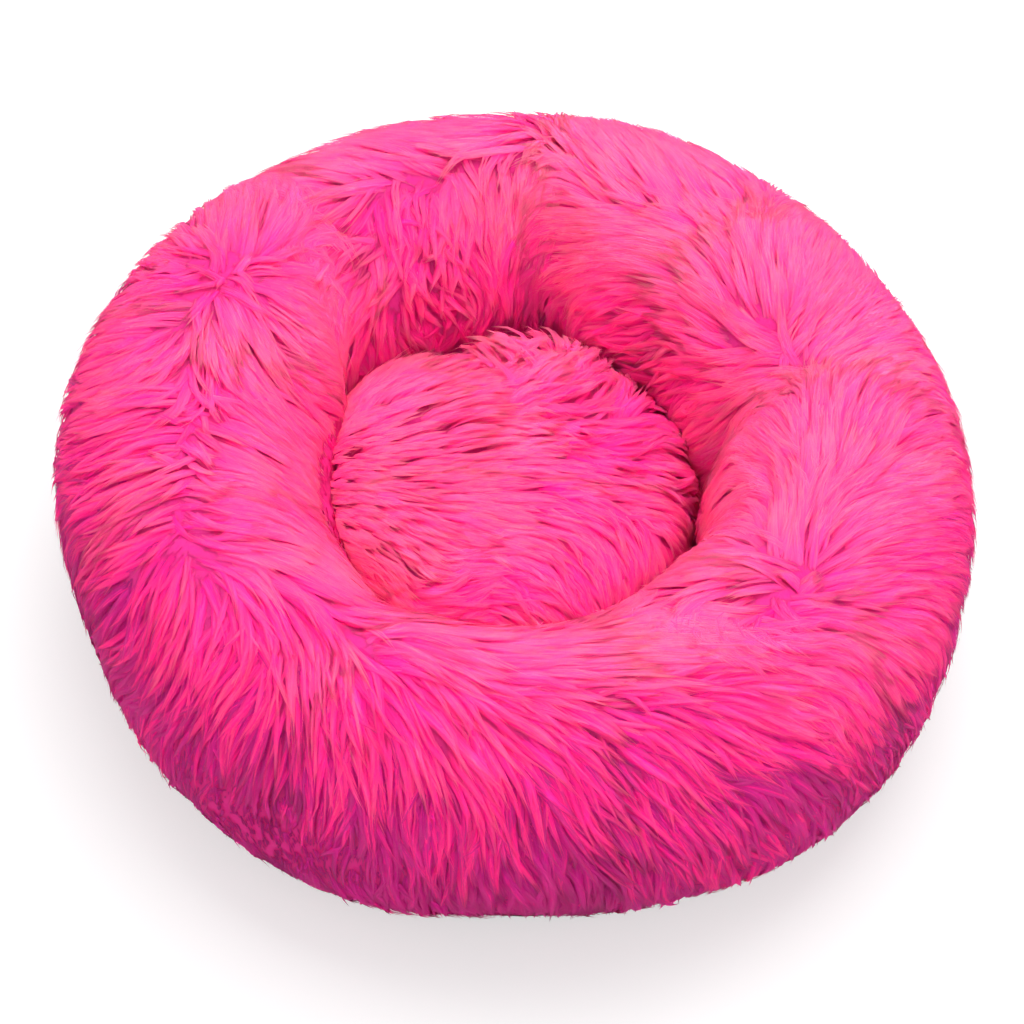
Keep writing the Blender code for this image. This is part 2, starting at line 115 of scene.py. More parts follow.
class Finish:
    def __init__(self, name, roughness=0.6, metallic=0.0, sheen=0.0, sheenTint=(1, 1, 1), specular=0.5):
        self.material = bpy.data.materials.new(name)
        self.material.use_nodes = True
        self.tree = self.material.node_tree
        self.shader = self.tree.nodes["Principled BSDF"]
        self.shader.inputs["Roughness"].default_value = roughness
        self.shader.inputs["Metallic"].default_value = metallic
        self.shader.inputs["Sheen Weight"].default_value = sheen
        self.shader.inputs["Sheen Roughness"].default_value = 0.45
        self.shader.inputs["Sheen Tint"].default_value = (*sheenTint, 1)
        self.shader.inputs["Specular IOR Level"].default_value = specular

    def add(self, kind, settings, sockets, output=0):  # settings are set first, then the sockets
        node = self.tree.nodes.new(kind)
        for key, value in settings.items():
            if key == "stops":
                while len(node.color_ramp.elements) < len(value):
                    node.color_ramp.elements.new(1)
                for element, (place, colour) in zip(node.color_ramp.elements, value):
                    element.position = place
                    element.color = (*colour, 1)
            else:
                setattr(node, key, value)
        for key, value in sockets.items():
            self.feed(node.inputs[key], value)
        return Wire(self, node.outputs[output])

    def feed(self, socket, value):
        if isinstance(value, Wire):
            self.tree.links.new(value.socket, socket)
        else:
            socket.default_value = value

    def paint(self, **inputs):
        for name, value in inputs.items():
            self.feed(self.shader.inputs[name.replace("_", " ")], value)
        return self.material

    def glow(self, balance, reach):  # light that scatters inside the material
        self.shader.subsurface_method = "BURLEY"
        self.shader.inputs["Subsurface Weight"].default_value = 1.0
        self.shader.inputs["Subsurface Radius"].default_value = balance
        self.shader.inputs["Subsurface Scale"].default_value = reach

    def maths(self, operation, *values):
        return self.add("ShaderNodeMath", {"operation": operation}, dict(enumerate(values)))

    def places(self):  # Object coordinates
        return self.add("ShaderNodeTexCoord", {}, {}, 3)

    def noise(self, place, scale, detail, **others):
        return self.add("ShaderNodeTexNoise", {}, {"Vector": place, "Scale": scale, "Detail": detail, **others})

    def bump(self, strength, distance, height):
        return self.add("ShaderNodeBump", {}, {"Strength": strength, "Distance": distance, "Height": height})

    def ramp(self, share, *stops):
        return self.add("ShaderNodeValToRGB", {"stops": stops}, {0: share})

    def blend(self, share, first, second, kind="MIX"):  # first and second are colours
        settings = {"data_type": "RGBA", "blend_type": kind}
        return self.add("ShaderNodeMix", settings, {0: share, 6: first, 7: second}, 2)


def colour(red, green, blue):
    return (red, green, blue, 1)


floorLook = {"size": 6.0, "grey": 0.55, "lift": 0.54, "world": 0.66}


def makeStage():
    shape = bmesh.new()
    bmesh.ops.create_grid(shape, x_segments=1, y_segments=1, size=floorLook["size"] / 2)
    finish = Finish("paleFloor", roughness=0.9, specular=0.0)
    grey = floorLook["grey"]
    seen = finish.add("ShaderNodeLightPath", {}, {})
    share = seen + seen.beside("Is Glossy Ray") + seen.beside("Is Transmission Ray")
    lift = floorLook["lift"]
    glow = finish.blend(share, colour(0, 0, 0), colour(lift, lift, lift))
    finish.shader.inputs["Emission Strength"].default_value = 1.0
    finish.paint(Base_Color=colour(grey, grey, grey), Emission_Color=glow)
    addPiece("floor", shape, material=finish.material)
    world = bpy.data.worlds.new("studio")
    bpy.context.scene.world = world
    world.use_nodes = True
    background = world.node_tree.nodes["Background"]
    background.inputs["Color"].default_value = (1, 1, 1, 1)
    background.inputs["Strength"].default_value = floorLook["world"]
    lamps = {
        "overheadSoftbox": {"place": (0.25, 0.45, 1.7), "size": 1.5, "power": 23.5},
        "frontSoftbox": {"place": (0.3, -1.5, 1.6), "size": 1.2, "power": 3.5},
    }
    for name, lamp in lamps.items():
        data = bpy.data.lights.new(name, "AREA")
        data.size = lamp["size"]
        data.energy = lamp["power"]
        light = bpy.data.objects.new(name, data)
        light.location = lamp["place"]
        light.rotation_euler = (-Vector(lamp["place"])).to_track_quat("-Z", "Y").to_euler()
        bpy.context.scene.collection.objects.link(light)


def addPiece(name, shape, body=None, material=None, node=None):  # node: the CAD node it stands for
    mesh = bpy.data.meshes.new(name)
    if isinstance(shape, bmesh.types.BMesh):
        shape.to_mesh(mesh)
        shape.free()
    piece = bpy.data.objects.new(name, mesh)
    bpy.context.scene.collection.objects.link(piece)
    mesh.polygons.foreach_set("use_smooth", [True] * len(mesh.polygons))
    if body:
        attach(piece, body)
    if material:
        mesh.materials.append(material)
    if node:
        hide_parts(node)
    return piece


makeStage()
print("stage: camera, floor and light")


# The bed's two soft surfaces, the ring and the cushion, in the CAD model's own terms

ring = {
    "coreRadius": 0.175,
    "coreHeight": 0.09,
    "halfWidth": 0.075,
    "halfHeight": 0.09,
    "upperFullness": 2.1,
    "lowerFullness": 2.1,
    "ovalShare": 0.093,
    "footAngles": (-67.7, 247.7),  # section angles of the outer and the inner foot
    # outer and well bearing, half width either side, start section angle (degrees), depth share, squareness
    "folds": (
        (129, 143, 12, 8, 80, 0.20, 1),
        (83, 80, 8, 12, 88, 0.25, 1),
        (105, 111, 24, 26, 76, 0.14, 2),
        (25, 4, 9, 7, 42, 0.17, 1),
        (-34, -22, 10, 10, 20, 0.09, 1),
        (246, 232, 10, 10, 60, 0.07, 1),
        (272, 272, 55, 50, 92, 0.11, 1),
    ),
}
pad = {
    "girthRadius": 0.099,
    "girthHeight": 0.0578,
    "rise": 0.0540,
    "drop": 0.0386,
    "upperFullness": 3.8,
    "lowerFullness": 2.6,
}


def smoothStep(share):
    share = np.clip(share, 0, 1)
    return share * share * (3 - 2 * share)


def bell(value, middle, width):
    return np.exp(-(((value - middle) / width) ** 2))


def profileReach(section, width, height, fullness):  # distance to a superellipse at an angle
    return (np.abs(np.cos(section) / width) ** fullness + np.abs(np.sin(section) / height) ** fullness) ** (
        -1 / fullness
    )


def foldSqueeze(bearing, section):
    turn = np.degrees(section) % 360
    turn = np.where(turn > 270, turn - 360, turn)
    along = np.clip((turn - 25) / 175, 0, 1)
    depth = 0
    for outer, well, before, after, start, share, squareness in ring["folds"]:
        gap = (np.degrees(bearing) - outer - (well - outer) * along + 180) % 360 - 180
        half = np.where(gap < 0, before, after)
        depth = depth + share * smoothStep((turn - start) / 45) * np.exp(-((gap / half) ** (2 * squareness)))
    return 1 - depth * smoothStep((225 - turn) / 30)


def ringPoint(bearing, section, inset, floor=0.0008):
    upper = np.sin(section) > 0
    fullness = np.where(upper, ring["upperFullness"], ring["lowerFullness"])
    height = ring["halfHeight"] - np.where(upper, inset, 0)
    reach = profileReach(section, ring["halfWidth"] - inset, height, fullness)
    out = reach * np.cos(section)
    up = reach * np.sin(section)
    out = np.where(out > 0, out * (1 - ring["ovalShare"] * np.sin(2 * bearing)), out)
    squeeze = foldSqueeze(bearing, section)
    up = np.where(upper, up * squeeze, up)
    radius = ring["coreRadius"] + out * squeeze
    low = np.maximum(ring["coreHeight"] + up, floor)
    return np.stack((radius * np.cos(bearing), radius * np.sin(bearing), low), -1)


def wrapped(section):  # section angles run from the outer foot at -68 degrees over the top to the inner at 248
    return np.where(section < -np.pi / 2, section + 2 * np.pi, section)


def ringPlace(point):  # bearing and section angle of a point near the ring
    bearing = np.arctan2(point[:, 1], point[:, 0])
    out = np.hypot(point[:, 0], point[:, 1]) - ring["coreRadius"]
    out = np.where(out > 0, out / (1 - ring["ovalShare"] * np.sin(2 * bearing)), out)
    return bearing, wrapped(np.arctan2(point[:, 2] - ring["coreHeight"], out))


def padPoint(bearing, section, inset, floor=0.0):
    upper = np.sin(section) > 0
    fullness = np.where(upper, pad["upperFullness"], pad["lowerFullness"])
    height = np.where(upper, pad["rise"], pad["drop"]) - inset
    reach = profileReach(section, pad["girthRadius"] - inset, height, fullness)
    radius = reach * np.cos(section)
    high = np.maximum(pad["girthHeight"] + reach * np.sin(section), floor)
    return np.stack((radius * np.cos(bearing), radius * np.sin(bearing), high), -1)


def padPlace(point):
    bearing = np.arctan2(point[:, 1], point[:, 0])
    return bearing, np.arctan2(point[:, 2] - pad["girthHeight"], np.hypot(point[:, 0], point[:, 1]))


def surfaceNormal(surface, bearing, section, inset):
    nudge = 0.004
    along = surface(bearing + nudge, section, inset) - surface(bearing - nudge, section, inset)
    across = surface(bearing, section + nudge, inset) - surface(bearing, section - nudge, inset)
    normal = np.cross(along, across)
    size = np.linalg.norm(normal, axis=-1)
    out = np.cos(section)
    facing = out * (normal[:, 0] * np.cos(bearing) + normal[:, 1] * np.sin(bearing)) + np.sin(section) * normal[:, 2]
    normal *= np.where(facing < 0, -1, 1)[:, None]  # a steep fold turns them inward
    return normal / np.maximum(size, 1e-12)[:, None], size / (2 * nudge) ** 2


# How the pile is combed: strokes from root to tip, each laid over the photograph's own pixels

combStrokes = {
    "leftLobe": (
        (230, 249, 228, 214), (247, 256, 270, 226), (201, 260, 169, 249), (189, 290, 136, 302), (143, 318, 97, 327),
        (258, 290, 304, 299), (270, 272, 311, 276), (235, 299, 242, 327), (251, 309, 270, 341), (270, 329, 327, 341),
        (281, 364, 338, 380), (224, 398, 281, 432), (270, 410, 315, 444), (212, 439, 258, 462), (258, 455, 311, 485),
        (201, 490, 247, 501), (178, 359, 127, 364), (169, 380, 120, 387), (173, 405, 116, 423), (109, 398, 68, 405),
        (169, 444, 116, 462), (109, 455, 63, 469), (166, 478, 116, 506), (155, 501, 104, 534), (187, 341, 187, 364),
    ),
    "leftFront": (
        (157, 515, 108, 544), (145, 548, 89, 580), (169, 561, 152, 602), (121, 585, 89, 614), (193, 573, 186, 609),
        (215, 580, 205, 616), (176, 616, 152, 655), (133, 636, 106, 670), (230, 621, 210, 665), (266, 602, 278, 645),
        (290, 597, 307, 636), (302, 665, 293, 708), (322, 645, 327, 684), (254, 670, 225, 718), (205, 682, 176, 733),
        (157, 682, 128, 723), (254, 730, 234, 779), (314, 718, 310, 767), (302, 791, 297, 839), (205, 515, 259, 519),
        (217, 556, 266, 580), (254, 544, 314, 563), (302, 573, 363, 597), (290, 519, 322, 544), (339, 609, 399, 616),
    ),
    "front": (
        (387, 645, 436, 670), (375, 682, 394, 730), (375, 779, 377, 827), (415, 626, 491, 633), (530, 651, 606, 651),
        (453, 684, 530, 694), (555, 684, 644, 687), (606, 702, 695, 712), (389, 651, 443, 684), (422, 697, 458, 733),
        (453, 710, 479, 766), (377, 689, 397, 743), (338, 664, 336, 707), (479, 715, 517, 753), (517, 710, 568, 753),
        (555, 712, 619, 753), (619, 728, 670, 779), (491, 779, 502, 830), (542, 779, 568, 824), (593, 791, 632, 842),
        (657, 791, 693, 830), (428, 830, 433, 881), (377, 804, 374, 855), (338, 791, 331, 842), (530, 842, 542, 893),
        (619, 855, 644, 901), (560, 640, 620, 636),
    ),
    "rightFront": (
        (625, 647, 686, 647), (674, 667, 735, 667), (698, 647, 747, 640), (747, 672, 809, 682), (772, 652, 816, 647),
        (649, 721, 698, 758), (723, 709, 784, 733), (710, 745, 760, 782), (661, 770, 703, 819), (772, 745, 821, 765),
        (796, 765, 833, 807), (747, 807, 777, 849), (686, 831, 703, 868), (833, 677, 858, 721), (845, 635, 882, 672),
        (870, 709, 902, 745), (858, 623, 919, 660), (882, 603, 931, 610), (931, 623, 963, 637),
    ),
    "rightLobe": (
        (845, 605, 895, 603), (821, 574, 882, 549), (809, 549, 845, 520), (791, 549, 791, 512), (895, 537, 956, 537),
        (870, 512, 919, 507), (907, 569, 963, 586), (747, 537, 710, 532), (767, 561, 723, 556), (723, 581, 681, 564),
        (760, 586, 733, 603), (703, 593, 688, 610), (825, 457, 827, 398), (852, 444, 879, 398), (784, 457, 757, 425),
        (798, 484, 730, 444), (879, 444, 933, 417), (892, 484, 947, 465), (743, 471, 703, 484), (743, 500, 700, 500),
    ),
    "backRight": (
        (779, 335, 773, 241), (757, 322, 730, 254), (743, 349, 692, 308), (730, 363, 676, 344), (703, 363, 662, 373),
        (716, 227, 670, 154), (730, 186, 703, 148), (676, 246, 610, 246), (703, 281, 648, 257), (689, 308, 635, 289),
        (662, 335, 616, 330), (635, 200, 581, 159), (670, 186, 621, 146), (608, 227, 567, 222), (594, 254, 554, 260),
        (594, 273, 564, 281), (635, 308, 589, 344), (662, 363, 621, 376), (689, 390, 657, 417), (811, 349, 852, 308),
        (811, 295, 833, 241), (825, 357, 892, 335), (838, 371, 920, 365), (865, 295, 892, 268), (784, 382, 730, 409),
        (757, 403, 676, 444),
    ),
    "back": (
        (326, 172, 281, 176), (426, 150, 382, 143), (370, 156, 326, 156), (516, 132, 471, 130), (370, 194, 337, 221),
        (359, 221, 330, 239), (382, 205, 397, 239), (404, 239, 404, 284), (437, 205, 449, 239), (460, 239, 449, 272),
        (370, 250, 344, 266), (382, 261, 366, 301), (415, 295, 422, 339), (449, 295, 471, 328), (482, 261, 493, 306),
        (516, 261, 527, 306), (493, 183, 504, 212), (527, 172, 520, 205), (538, 228, 527, 257), (370, 317, 348, 346),
        (393, 328, 408, 355),
    ),
    "cushion": (
        (509, 371, 494, 345), (547, 371, 542, 345), (573, 376, 575, 348), (606, 381, 616, 363), (420, 384, 484, 386),
        (369, 417, 433, 412), (470, 410, 525, 412), (535, 427, 573, 447), (394, 458, 458, 447), (369, 478, 433, 474),
        (343, 498, 407, 504), (448, 483, 509, 478), (505, 450, 560, 462), (530, 490, 590, 500), (598, 468, 662, 473),
        (598, 483, 662, 498), (606, 427, 608, 396), (598, 516, 611, 555), (632, 542, 632, 575), (598, 567, 598, 600),
        (470, 515, 525, 525), (400, 530, 440, 545), (402, 555, 417, 588), (420, 590, 460, 580), (458, 590, 484, 567),
        (522, 542, 547, 580), (535, 567, 560, 600), (496, 593, 520, 606), (345, 540, 380, 552), (500, 550, 540, 560),
        (640, 440, 668, 436), (360, 445, 400, 440),
    ),
}


def unit(vectors):
    return vectors / np.maximum(np.linalg.norm(vectors, axis=-1, keepdims=True), 1e-9)


def flattened(direction, normal):  # without its share across the surface
    return direction - (direction * normal).sum(-1)[:, None] * normal


def castStrokes(names, node):  # where the strokes fall on a soft form, as middles, directions and normals
    source = nodes[node].data
    corners = [vertex.co for vertex in source.vertices]
    tree = BVHTree.FromPolygons(corners, [list(face.vertices) for face in source.polygons])
    middle = sum(corners, Vector()) / len(corners)
    strokes = []
    for name in names:
        for x0, y0, x1, y1 in combStrokes[name]:
            start, normal, _, _ = tree.ray_cast(eye, pixelRay(x0, y0))
            end, _, _, _ = tree.ray_cast(eye, pixelRay(x1, y1))
            if start is None:  # a stroke beside the form goes to the point nearest to it
                ray = pixelRay(x0, y0)
                reach = [(middle - eye).dot(ray) + step * 0.004 for step in range(-40, 41)]
                start, normal = min((tree.find_nearest(eye + ray * far) for far in reach), key=lambda hit: hit[3])[:2]
                end = None
            if end is None or (end - start).length > 0.08:
                step = pixelRay(x1, y1) - pixelRay(x0, y0)
                end = start + (step - normal * step.dot(normal)).normalized() * 0.02
            strokes.append((*((start + end) / 2), *(end - start).normalized(), *normal))
    return np.array(strokes)


def combedAlong(strokes, spread, fallback):  # the lay of the pile at any points, tangent to the surface
    def lay(point, normal, bearing, section):
        gap = ((point[:, None, :] - strokes[None, :, :3]) ** 2).sum(-1)
        facing = np.clip(normal @ strokes[:, 6:].T, 0, 1) ** 1.5
        weight = np.exp(-gap / (2 * spread * spread)) * facing
        direction = flattened(weight @ strokes[:, 3:6] + fallback(point, normal, bearing, section), normal)
        size = np.linalg.norm(direction, axis=-1)
        agreement = np.clip(size / (weight.sum(-1) + 0.03), 0, 1)  # low in a whorl or a parting
        return unit(direction), agreement

    return lay


def ringFallback(point, normal, bearing, section):  # down the outside, and down into the well
    away = np.stack((np.cos(bearing), np.sin(bearing), 0 * bearing), -1)
    outward = np.cos(section)[:, None] * away - np.abs(np.cos(section))[:, None] * np.array((0, 0, 0.9))
    return 0.03 * outward


def padFallback(point, normal, bearing, section):
    away = np.stack((np.cos(bearing), np.sin(bearing), 0 * bearing), -1)
    over = np.stack((0 * bearing + 0.03, 0 * bearing, -0.03 * np.cos(bearing)), -1)
    return 0.010 * away + over


ringComb = combedAlong(
    castStrokes([name for name in combStrokes if name != "cushion"], "bolster_plush"), 0.011, ringFallback
)
padComb = combedAlong(castStrokes(["cushion"], "cushion_plush"), 0.010, padFallback)
print("stage: comb strokes laid")


# The pile: locks are walked over the surface, and each lock is a few tapered strands


def waves(point, scale, seed):  # a smooth field between about -1 and 1
    turns = np.random.default_rng(seed)
    total = 0
    for _ in range(5):
        axis = turns.normal(size=3)
        axis /= np.linalg.norm(axis)
        total = total + np.sin(point @ axis * 2 * np.pi / (scale * turns.uniform(0.7, 1.5)) + turns.uniform(0, 6.28))
    return total / 2.6


def turned(direction, normal, angle):
    side = np.cross(normal, direction)
    return direction * np.cos(angle)[:, None] + side * np.sin(angle)[:, None]


def scatterRoots(surface, count, angles, inset):
    low, high = (math.radians(angle) for angle in angles)
    tries = count * 6
    bearing = rng.uniform(-math.pi, math.pi, tries)
    section = rng.uniform(low, high, tries)
    area = surfaceNormal(surface, bearing, section, inset)[1]
    turn = np.degrees(wrapped(section))
    hidden = smoothStep((turn - 205) / 20) + smoothStep((-45 - turn) / 20)  # at the feet of the ring
    kept = rng.uniform(0, 1, tries) < area / np.quantile(area, 0.999) * (1 - 0.45 * hidden)
    return bearing[kept][:count], section[kept][:count]


def backingDepth(form, look, bearing, section, agreement):  # how deep the pile's backing lies, where locks are rooted
    rough, smooth = look["backingInset"]
    depth = rough + (smooth - rough) * form["calm"](bearing, section) - 0.92 * form["proud"](bearing, section)
    return depth + look["whorlDrop"] * smoothStep((0.55 - agreement) / 0.3)


def normalAt(form, look, bearing, section):
    return surfaceNormal(form["surface"], bearing, section, look["rootInset"])[0]


def combAgreement(form, look, bearing, section):
    point = form["surface"](bearing, section, look["rootInset"])
    return form["comb"](point, normalAt(form, look, bearing, section), bearing, section)[1]


def thickened(form, look, kind):  # roots all over a form, and more of them in whorls and partings
    bearing, section = scatterRoots(form["surface"], look[kind], form["angles"], look["rootInset"])
    agreement = combAgreement(form, look, bearing, section)
    extra = np.concatenate([np.nonzero(agreement < least)[0] for least in look["sparse"]])
    jitter = rng.normal(0, look["scatter"], (2, len(extra)))
    across = np.hypot(*form["surface"](bearing[extra], section[extra], 0)[:, :2].T)
    bearing = np.concatenate((bearing, bearing[extra] + jitter[0] / across))
    section = np.concatenate((section, section[extra] + jitter[1] / form["depth"]))
    return bearing, section, np.concatenate((agreement, agreement[extra]))


def combTufts(form, look):  # each tuft's middle line, along the form at the roots' depth
    bearing, section, agreement = thickened(form, look, "tufts")
    count = len(bearing)
    steps = look["steps"]
    calm = form["calm"](bearing, section)
    wild = np.where(rng.uniform(0, 1, count) < look["wildShare"], look["wildness"], 1)
    length = look["length"] * rng.uniform(0.75, 1.15, count) / np.sqrt(wild)
    rough = form["rough"](bearing, section)
    unrest = (1 - 0.85 * calm) * (1 + 1.4 * rough)
    length = length * (1 - 0.38 * rough)
    turnStart = np.radians(rng.normal(0, look["stray"], count)) * wild * unrest
    turnGain = np.radians(rng.normal(0, look["curl"], count)) * unrest
    astray = rng.normal(0, look["mixing"], (count, 3))
    point = form["surface"](bearing, section, look["rootInset"])
    line = [point]
    for step in range(1, steps + 1):
        normal = normalAt(form, look, bearing, section)
        direction = form["comb"](point + astray, normal, bearing, section)[0]
        if step == 1:
            turnStart += rng.normal(0, look["tousle"], count) * np.maximum(0.75 - agreement, 0) ** 1.5
            length = length * (0.4 + 0.6 * smoothStep((agreement - 0.12) / 0.5))
        share = step / steps
        wave = np.radians(look["wave"]) * waves(point, look["waveScale"], 7) * unrest
        direction = turned(direction, normal, turnStart + turnGain * (share - 0.4) + wave)
        if step > 1:  # where two flows meet, a tuft runs on rather than turn back
            direction = look["momentum"] * before + (1 - look["momentum"]) * direction
            direction = unit(flattened(direction, normal))
        before = direction
        bearing, section = form["place"](point + direction * (length / steps)[:, None])
        point = form["surface"](bearing, section, look["rootInset"])
        line.append(point)
    return np.stack(line, 1)


def combLocks(form, look, tufts):  # locks of strands that draw together towards their tuft's tip
    bearing, section, agreement = thickened(form, look, "locks")
    calm = form["calm"](bearing, section)
    deep = backingDepth(form, look, bearing, section, agreement) + look["sunkRoot"]
    root = form["surface"](bearing, section, deep)
    tree = KDTree(len(tufts))
    for number, line in enumerate(tufts):
        tree.insert(line[0], number)
    tree.balance()
    tuft = np.array([tree.find(place)[1] for place in root + rng.normal(0, look["ragged"], root.shape)])
    offset = root - tufts[tuft, 0]
    rim = np.minimum(np.linalg.norm(offset, axis=-1) / look["tuftRadius"], 1.4)
    high, low = look["tipInset"]
    sunk = 0.6 * rng.uniform(0, 1, len(tufts))[tuft] + 0.4 * rng.uniform(0, 1, len(root))
    tipInset = high + (low - high) * sunk * (1 - 0.7 * calm) + look["groove"] * rim**2 * (1 - calm)
    tipInset += look["swell"] * waves(root, 0.022, 9) * (1 - calm) - form["proud"](bearing, section)
    tipInset -= look["clump"] * form["rough"](bearing, section) * (rng.uniform(-0.3, 1, len(tufts))[tuft])
    gather = look["tuftGather"] * (1 - 0.9 * calm)
    early, late = look["rise"]
    rise = late + (early - late) * calm
    path = [root]
    normals = [normalAt(form, look, bearing, section)]
    for step in range(1, look["steps"] + 1):
        share = step / look["steps"]
        point = tufts[tuft, step] + offset * (1 - gather * share)[:, None]
        bearing, section = form["place"](point)
        inset = deep + (tipInset - deep) * (1 - (1 - share) ** rise)
        path.append(form["surface"](bearing, section, inset))
        normals.append(normalAt(form, look, bearing, section))
    # the last two, at a tuft's rim and in a sunken tuft, darken the strands as painted shade
    return np.stack(path, 1), np.stack(normals, 1), calm, tuft, rim**2 * (1 - calm), sunk * (1 - calm)


def strandTemplate(segments):  # a flat strand, one face wide, drawn to a point
    shape = bmesh.new()
    bmesh.ops.create_grid(shape, x_segments=1, y_segments=segments, size=1)
    tip = [vertex for vertex in shape.verts if vertex.co.y > 0.999]
    bmesh.ops.pointmerge(shape, verts=tip, merge_co=(0, 1, 0))
    shape.verts.index_update()
    across = np.array([round(vertex.co.x) for vertex in shape.verts])
    along = np.array([round((vertex.co.y + 1) / 2 * segments) for vertex in shape.verts])
    faces = [[loop.vert.index for loop in face.loops] for face in shape.faces]
    shape.free()
    return across, along, faces


def stampStrands(name, path, side, facing, width, strip, look, body, slot, material):
    across, along, faces = strandTemplate(look["segments"])
    count = len(path)
    taper = np.array(look["taper"])
    offset = (width[:, None] * taper[None, along] * across[None, :])[:, :, None] * side[:, along]
    points = path[:, along] + offset
    points[:, :, 2] = np.maximum(points[:, :, 2], 0.0006)
    rounded = facing[:, along] + look["roundness"] * across[None, :, None] * side[:, along]
    rounded /= np.linalg.norm(rounded, axis=-1)[:, :, None]
    order = np.concatenate([np.array(face) for face in faces])
    sizes = np.array([len(face) for face in faces])
    mesh = addPiece(name, None, body, material).data
    mesh.vertices.add(count * len(across))
    mesh.vertices.foreach_set("co", points.astype(np.float32).ravel())
    loops = (order[None, :] + np.arange(count)[:, None] * len(across)).ravel()
    mesh.loops.add(len(loops))
    mesh.loops.foreach_set("vertex_index", loops.astype(np.int32))
    mesh.polygons.add(count * len(faces))
    starts = np.concatenate(([0], np.cumsum(np.tile(sizes, count))[:-1]))
    mesh.polygons.foreach_set("loop_start", starts.astype(np.int32))
    mesh.polygons.foreach_set("use_smooth", [True] * (count * len(faces)))
    stripWidth = (1 - 2 * mapEdge) / look["strips"]
    u = mapEdge + (strip[:, None] + 0.5 + 0.42 * across[None, order]) * stripWidth
    v = np.broadcast_to(mapEdge + (1 - 2 * mapEdge) * along[order] / look["segments"], u.shape)
    lay = np.stack((u, v), -1).astype(np.float32).ravel()
    for mapName in ("strandRun", "OFBake"):  # the second holds the same layout under its own name
        mesh.uv_layers.new(name=mapName).uv.foreach_set("vector", lay)
    shading = mesh.attributes.new("custom_normal", "FLOAT_VECTOR", "POINT")
    shading.data.foreach_set("vector", rounded.astype(np.float32).ravel())
    mesh.update()


def growPile(path, normals, look, calm):  # strands round each lock's path
    count, points, _ = path.shape
    many = look["strands"]
    lock = np.repeat(np.arange(count), many)
    total = len(lock)
    reach = rng.uniform(look["shortest"], 1.08, total)
    shift = rng.uniform(-0.16, 0.10, total)
    spots = np.linspace(0, 1, look["segments"] + 1)[None, :] * reach[:, None] + shift[:, None]
    spots = spots * (points - 1)
    lower = np.clip(np.floor(spots), 0, points - 2).astype(int)
    part = (spots - lower)[:, :, None]
    first = path[lock[:, None], lower]
    second = path[lock[:, None], lower + 1]
    middle = first + (second - first) * part
    normal = normals[lock[:, None], lower] * (1 - part) + normals[lock[:, None], lower + 1] * part
    ahead = unit(second - first)
    side = unit(np.cross(ahead, normal))
    lift = np.cross(side, ahead)
    share = np.linspace(0, 1, look["segments"] + 1)[None, :]
    rough, smooth = look["gather"]
    spread = 1 - (rough + (smooth - rough) * calm)[lock][:, None] * share**0.8
    spot = rng.uniform(-1, 1, total)  # across the lock
    sideways = spot[:, None] * look["lockRadius"] * spread
    sway = rng.uniform(0.2, 1, total)[:, None] * look["sway"] * share
    phase = share * rng.uniform(0.6, 1.3, total)[:, None] + rng.uniform(0, 1, total)[:, None]
    sideways += sway * np.sin(6.28 * phase)
    dome = np.sqrt(1 - spot**2) * rng.uniform(0.5, 1, total) - 0.3
    upward = dome[:, None] * look["lockRadius"] * look["plump"] * spread
    upward *= 1 - 0.7 * calm[lock][:, None]
    fly = (rng.uniform(0, 1, total) < look["flyShare"])[:, None] * rng.uniform(0, 1, total)[:, None]
    upward += fly * look["flyHeight"] * share**2
    middle = middle + side * sideways[:, :, None] + lift * upward[:, :, None]
    roll = np.radians(rng.normal(0, look["roll"], total))[:, None, None]
    tilted = side * np.cos(roll) + lift * np.sin(roll)
    facing = look["smoothness"] * normal + (1 - look["smoothness"]) * (lift * np.cos(roll) - side * np.sin(roll))
    facing += look["lockRoundness"] * (spot * (1 - 0.8 * calm[lock]))[:, None, None] * side
    width = look["width"] * rng.uniform(0.7, 1.3, total)
    # the last value, how far out in its lock a strand lies, darkens it as painted shade
    return middle, tilted, facing, width, lock, spot**2 * (1 - 0.8 * calm[lock])


pileLook = {
    "tufts": 19000,
    "locks": 30500,
    "strands": 7,  # in each lock
    "segments": 3,  # of a strand
    "steps": 5,  # of a lock's path
    "length": 0.042,
    "rootInset": 0.0050,  # where tufts are laid out
    "sunkRoot": 0.0005,
    "backingInset": (0.0053, 0.0037),  # under rough and under calm pile
    "whorlDrop": 0.0022,  # how much deeper the backing lies in whorls and partings, where the pile stands up
    "tipInset": (-0.0010, 0.0030),
    "rise": (2.8, 1.7),  # how early a lock comes up to its full height, calm and rough
    "stray": 9,  # degrees
    "curl": 20,
    "wave": 12,
    "waveScale": 0.035,
    "sparse": (0.45, 0.2),  # agreement of the combing below which more roots are set
    "scatter": 0.003,
    "tousle": 1.6,  # how far tufts turn in a whorl or a parting
    "wildShare": 0.06,
    "wildness": 2.5,
    "momentum": 0.62,  # how much a tuft keeps its direction from step to step
    "mixing": 0.005,  # how far neighbouring tufts' combing mixes
    "ragged": 0.0012,
    "tuftRadius": 0.0034,
    "tuftGather": 0.85,
    "swell": 0.0012,  # slow rise and fall of the pile's height
    "groove": 0.0024,  # how much lower a tuft's edge is than its middle
    "clump": 0.0035,  # how far single tufts stand out where the pile is roughest
    "lockRadius": 0.0022,
    "gather": (0.8, 0.15),  # of a lock's strands, rough and calm
    "sway": 0.0008,
    "width": 0.00055,  # half the width of a strand
    "taper": (0.8, 1.0, 0.8, 0.0),
    "shortest": 0.72,
    "roll": 12,
    "smoothness": 0.8,  # share of the surface's own normal in a strand's shading
    "roundness": 0.25,
    "lockRoundness": 0.35,  # how far a lock's outer strands look sideways
    "plump": 0.6,
    "flyShare": 0.05,
    "flyHeight": 0.0025,
    "strips": 40,
    "shadeStrips": 0.25,  # share of the strips that darken the shaded side
    "sectors": 9,
}
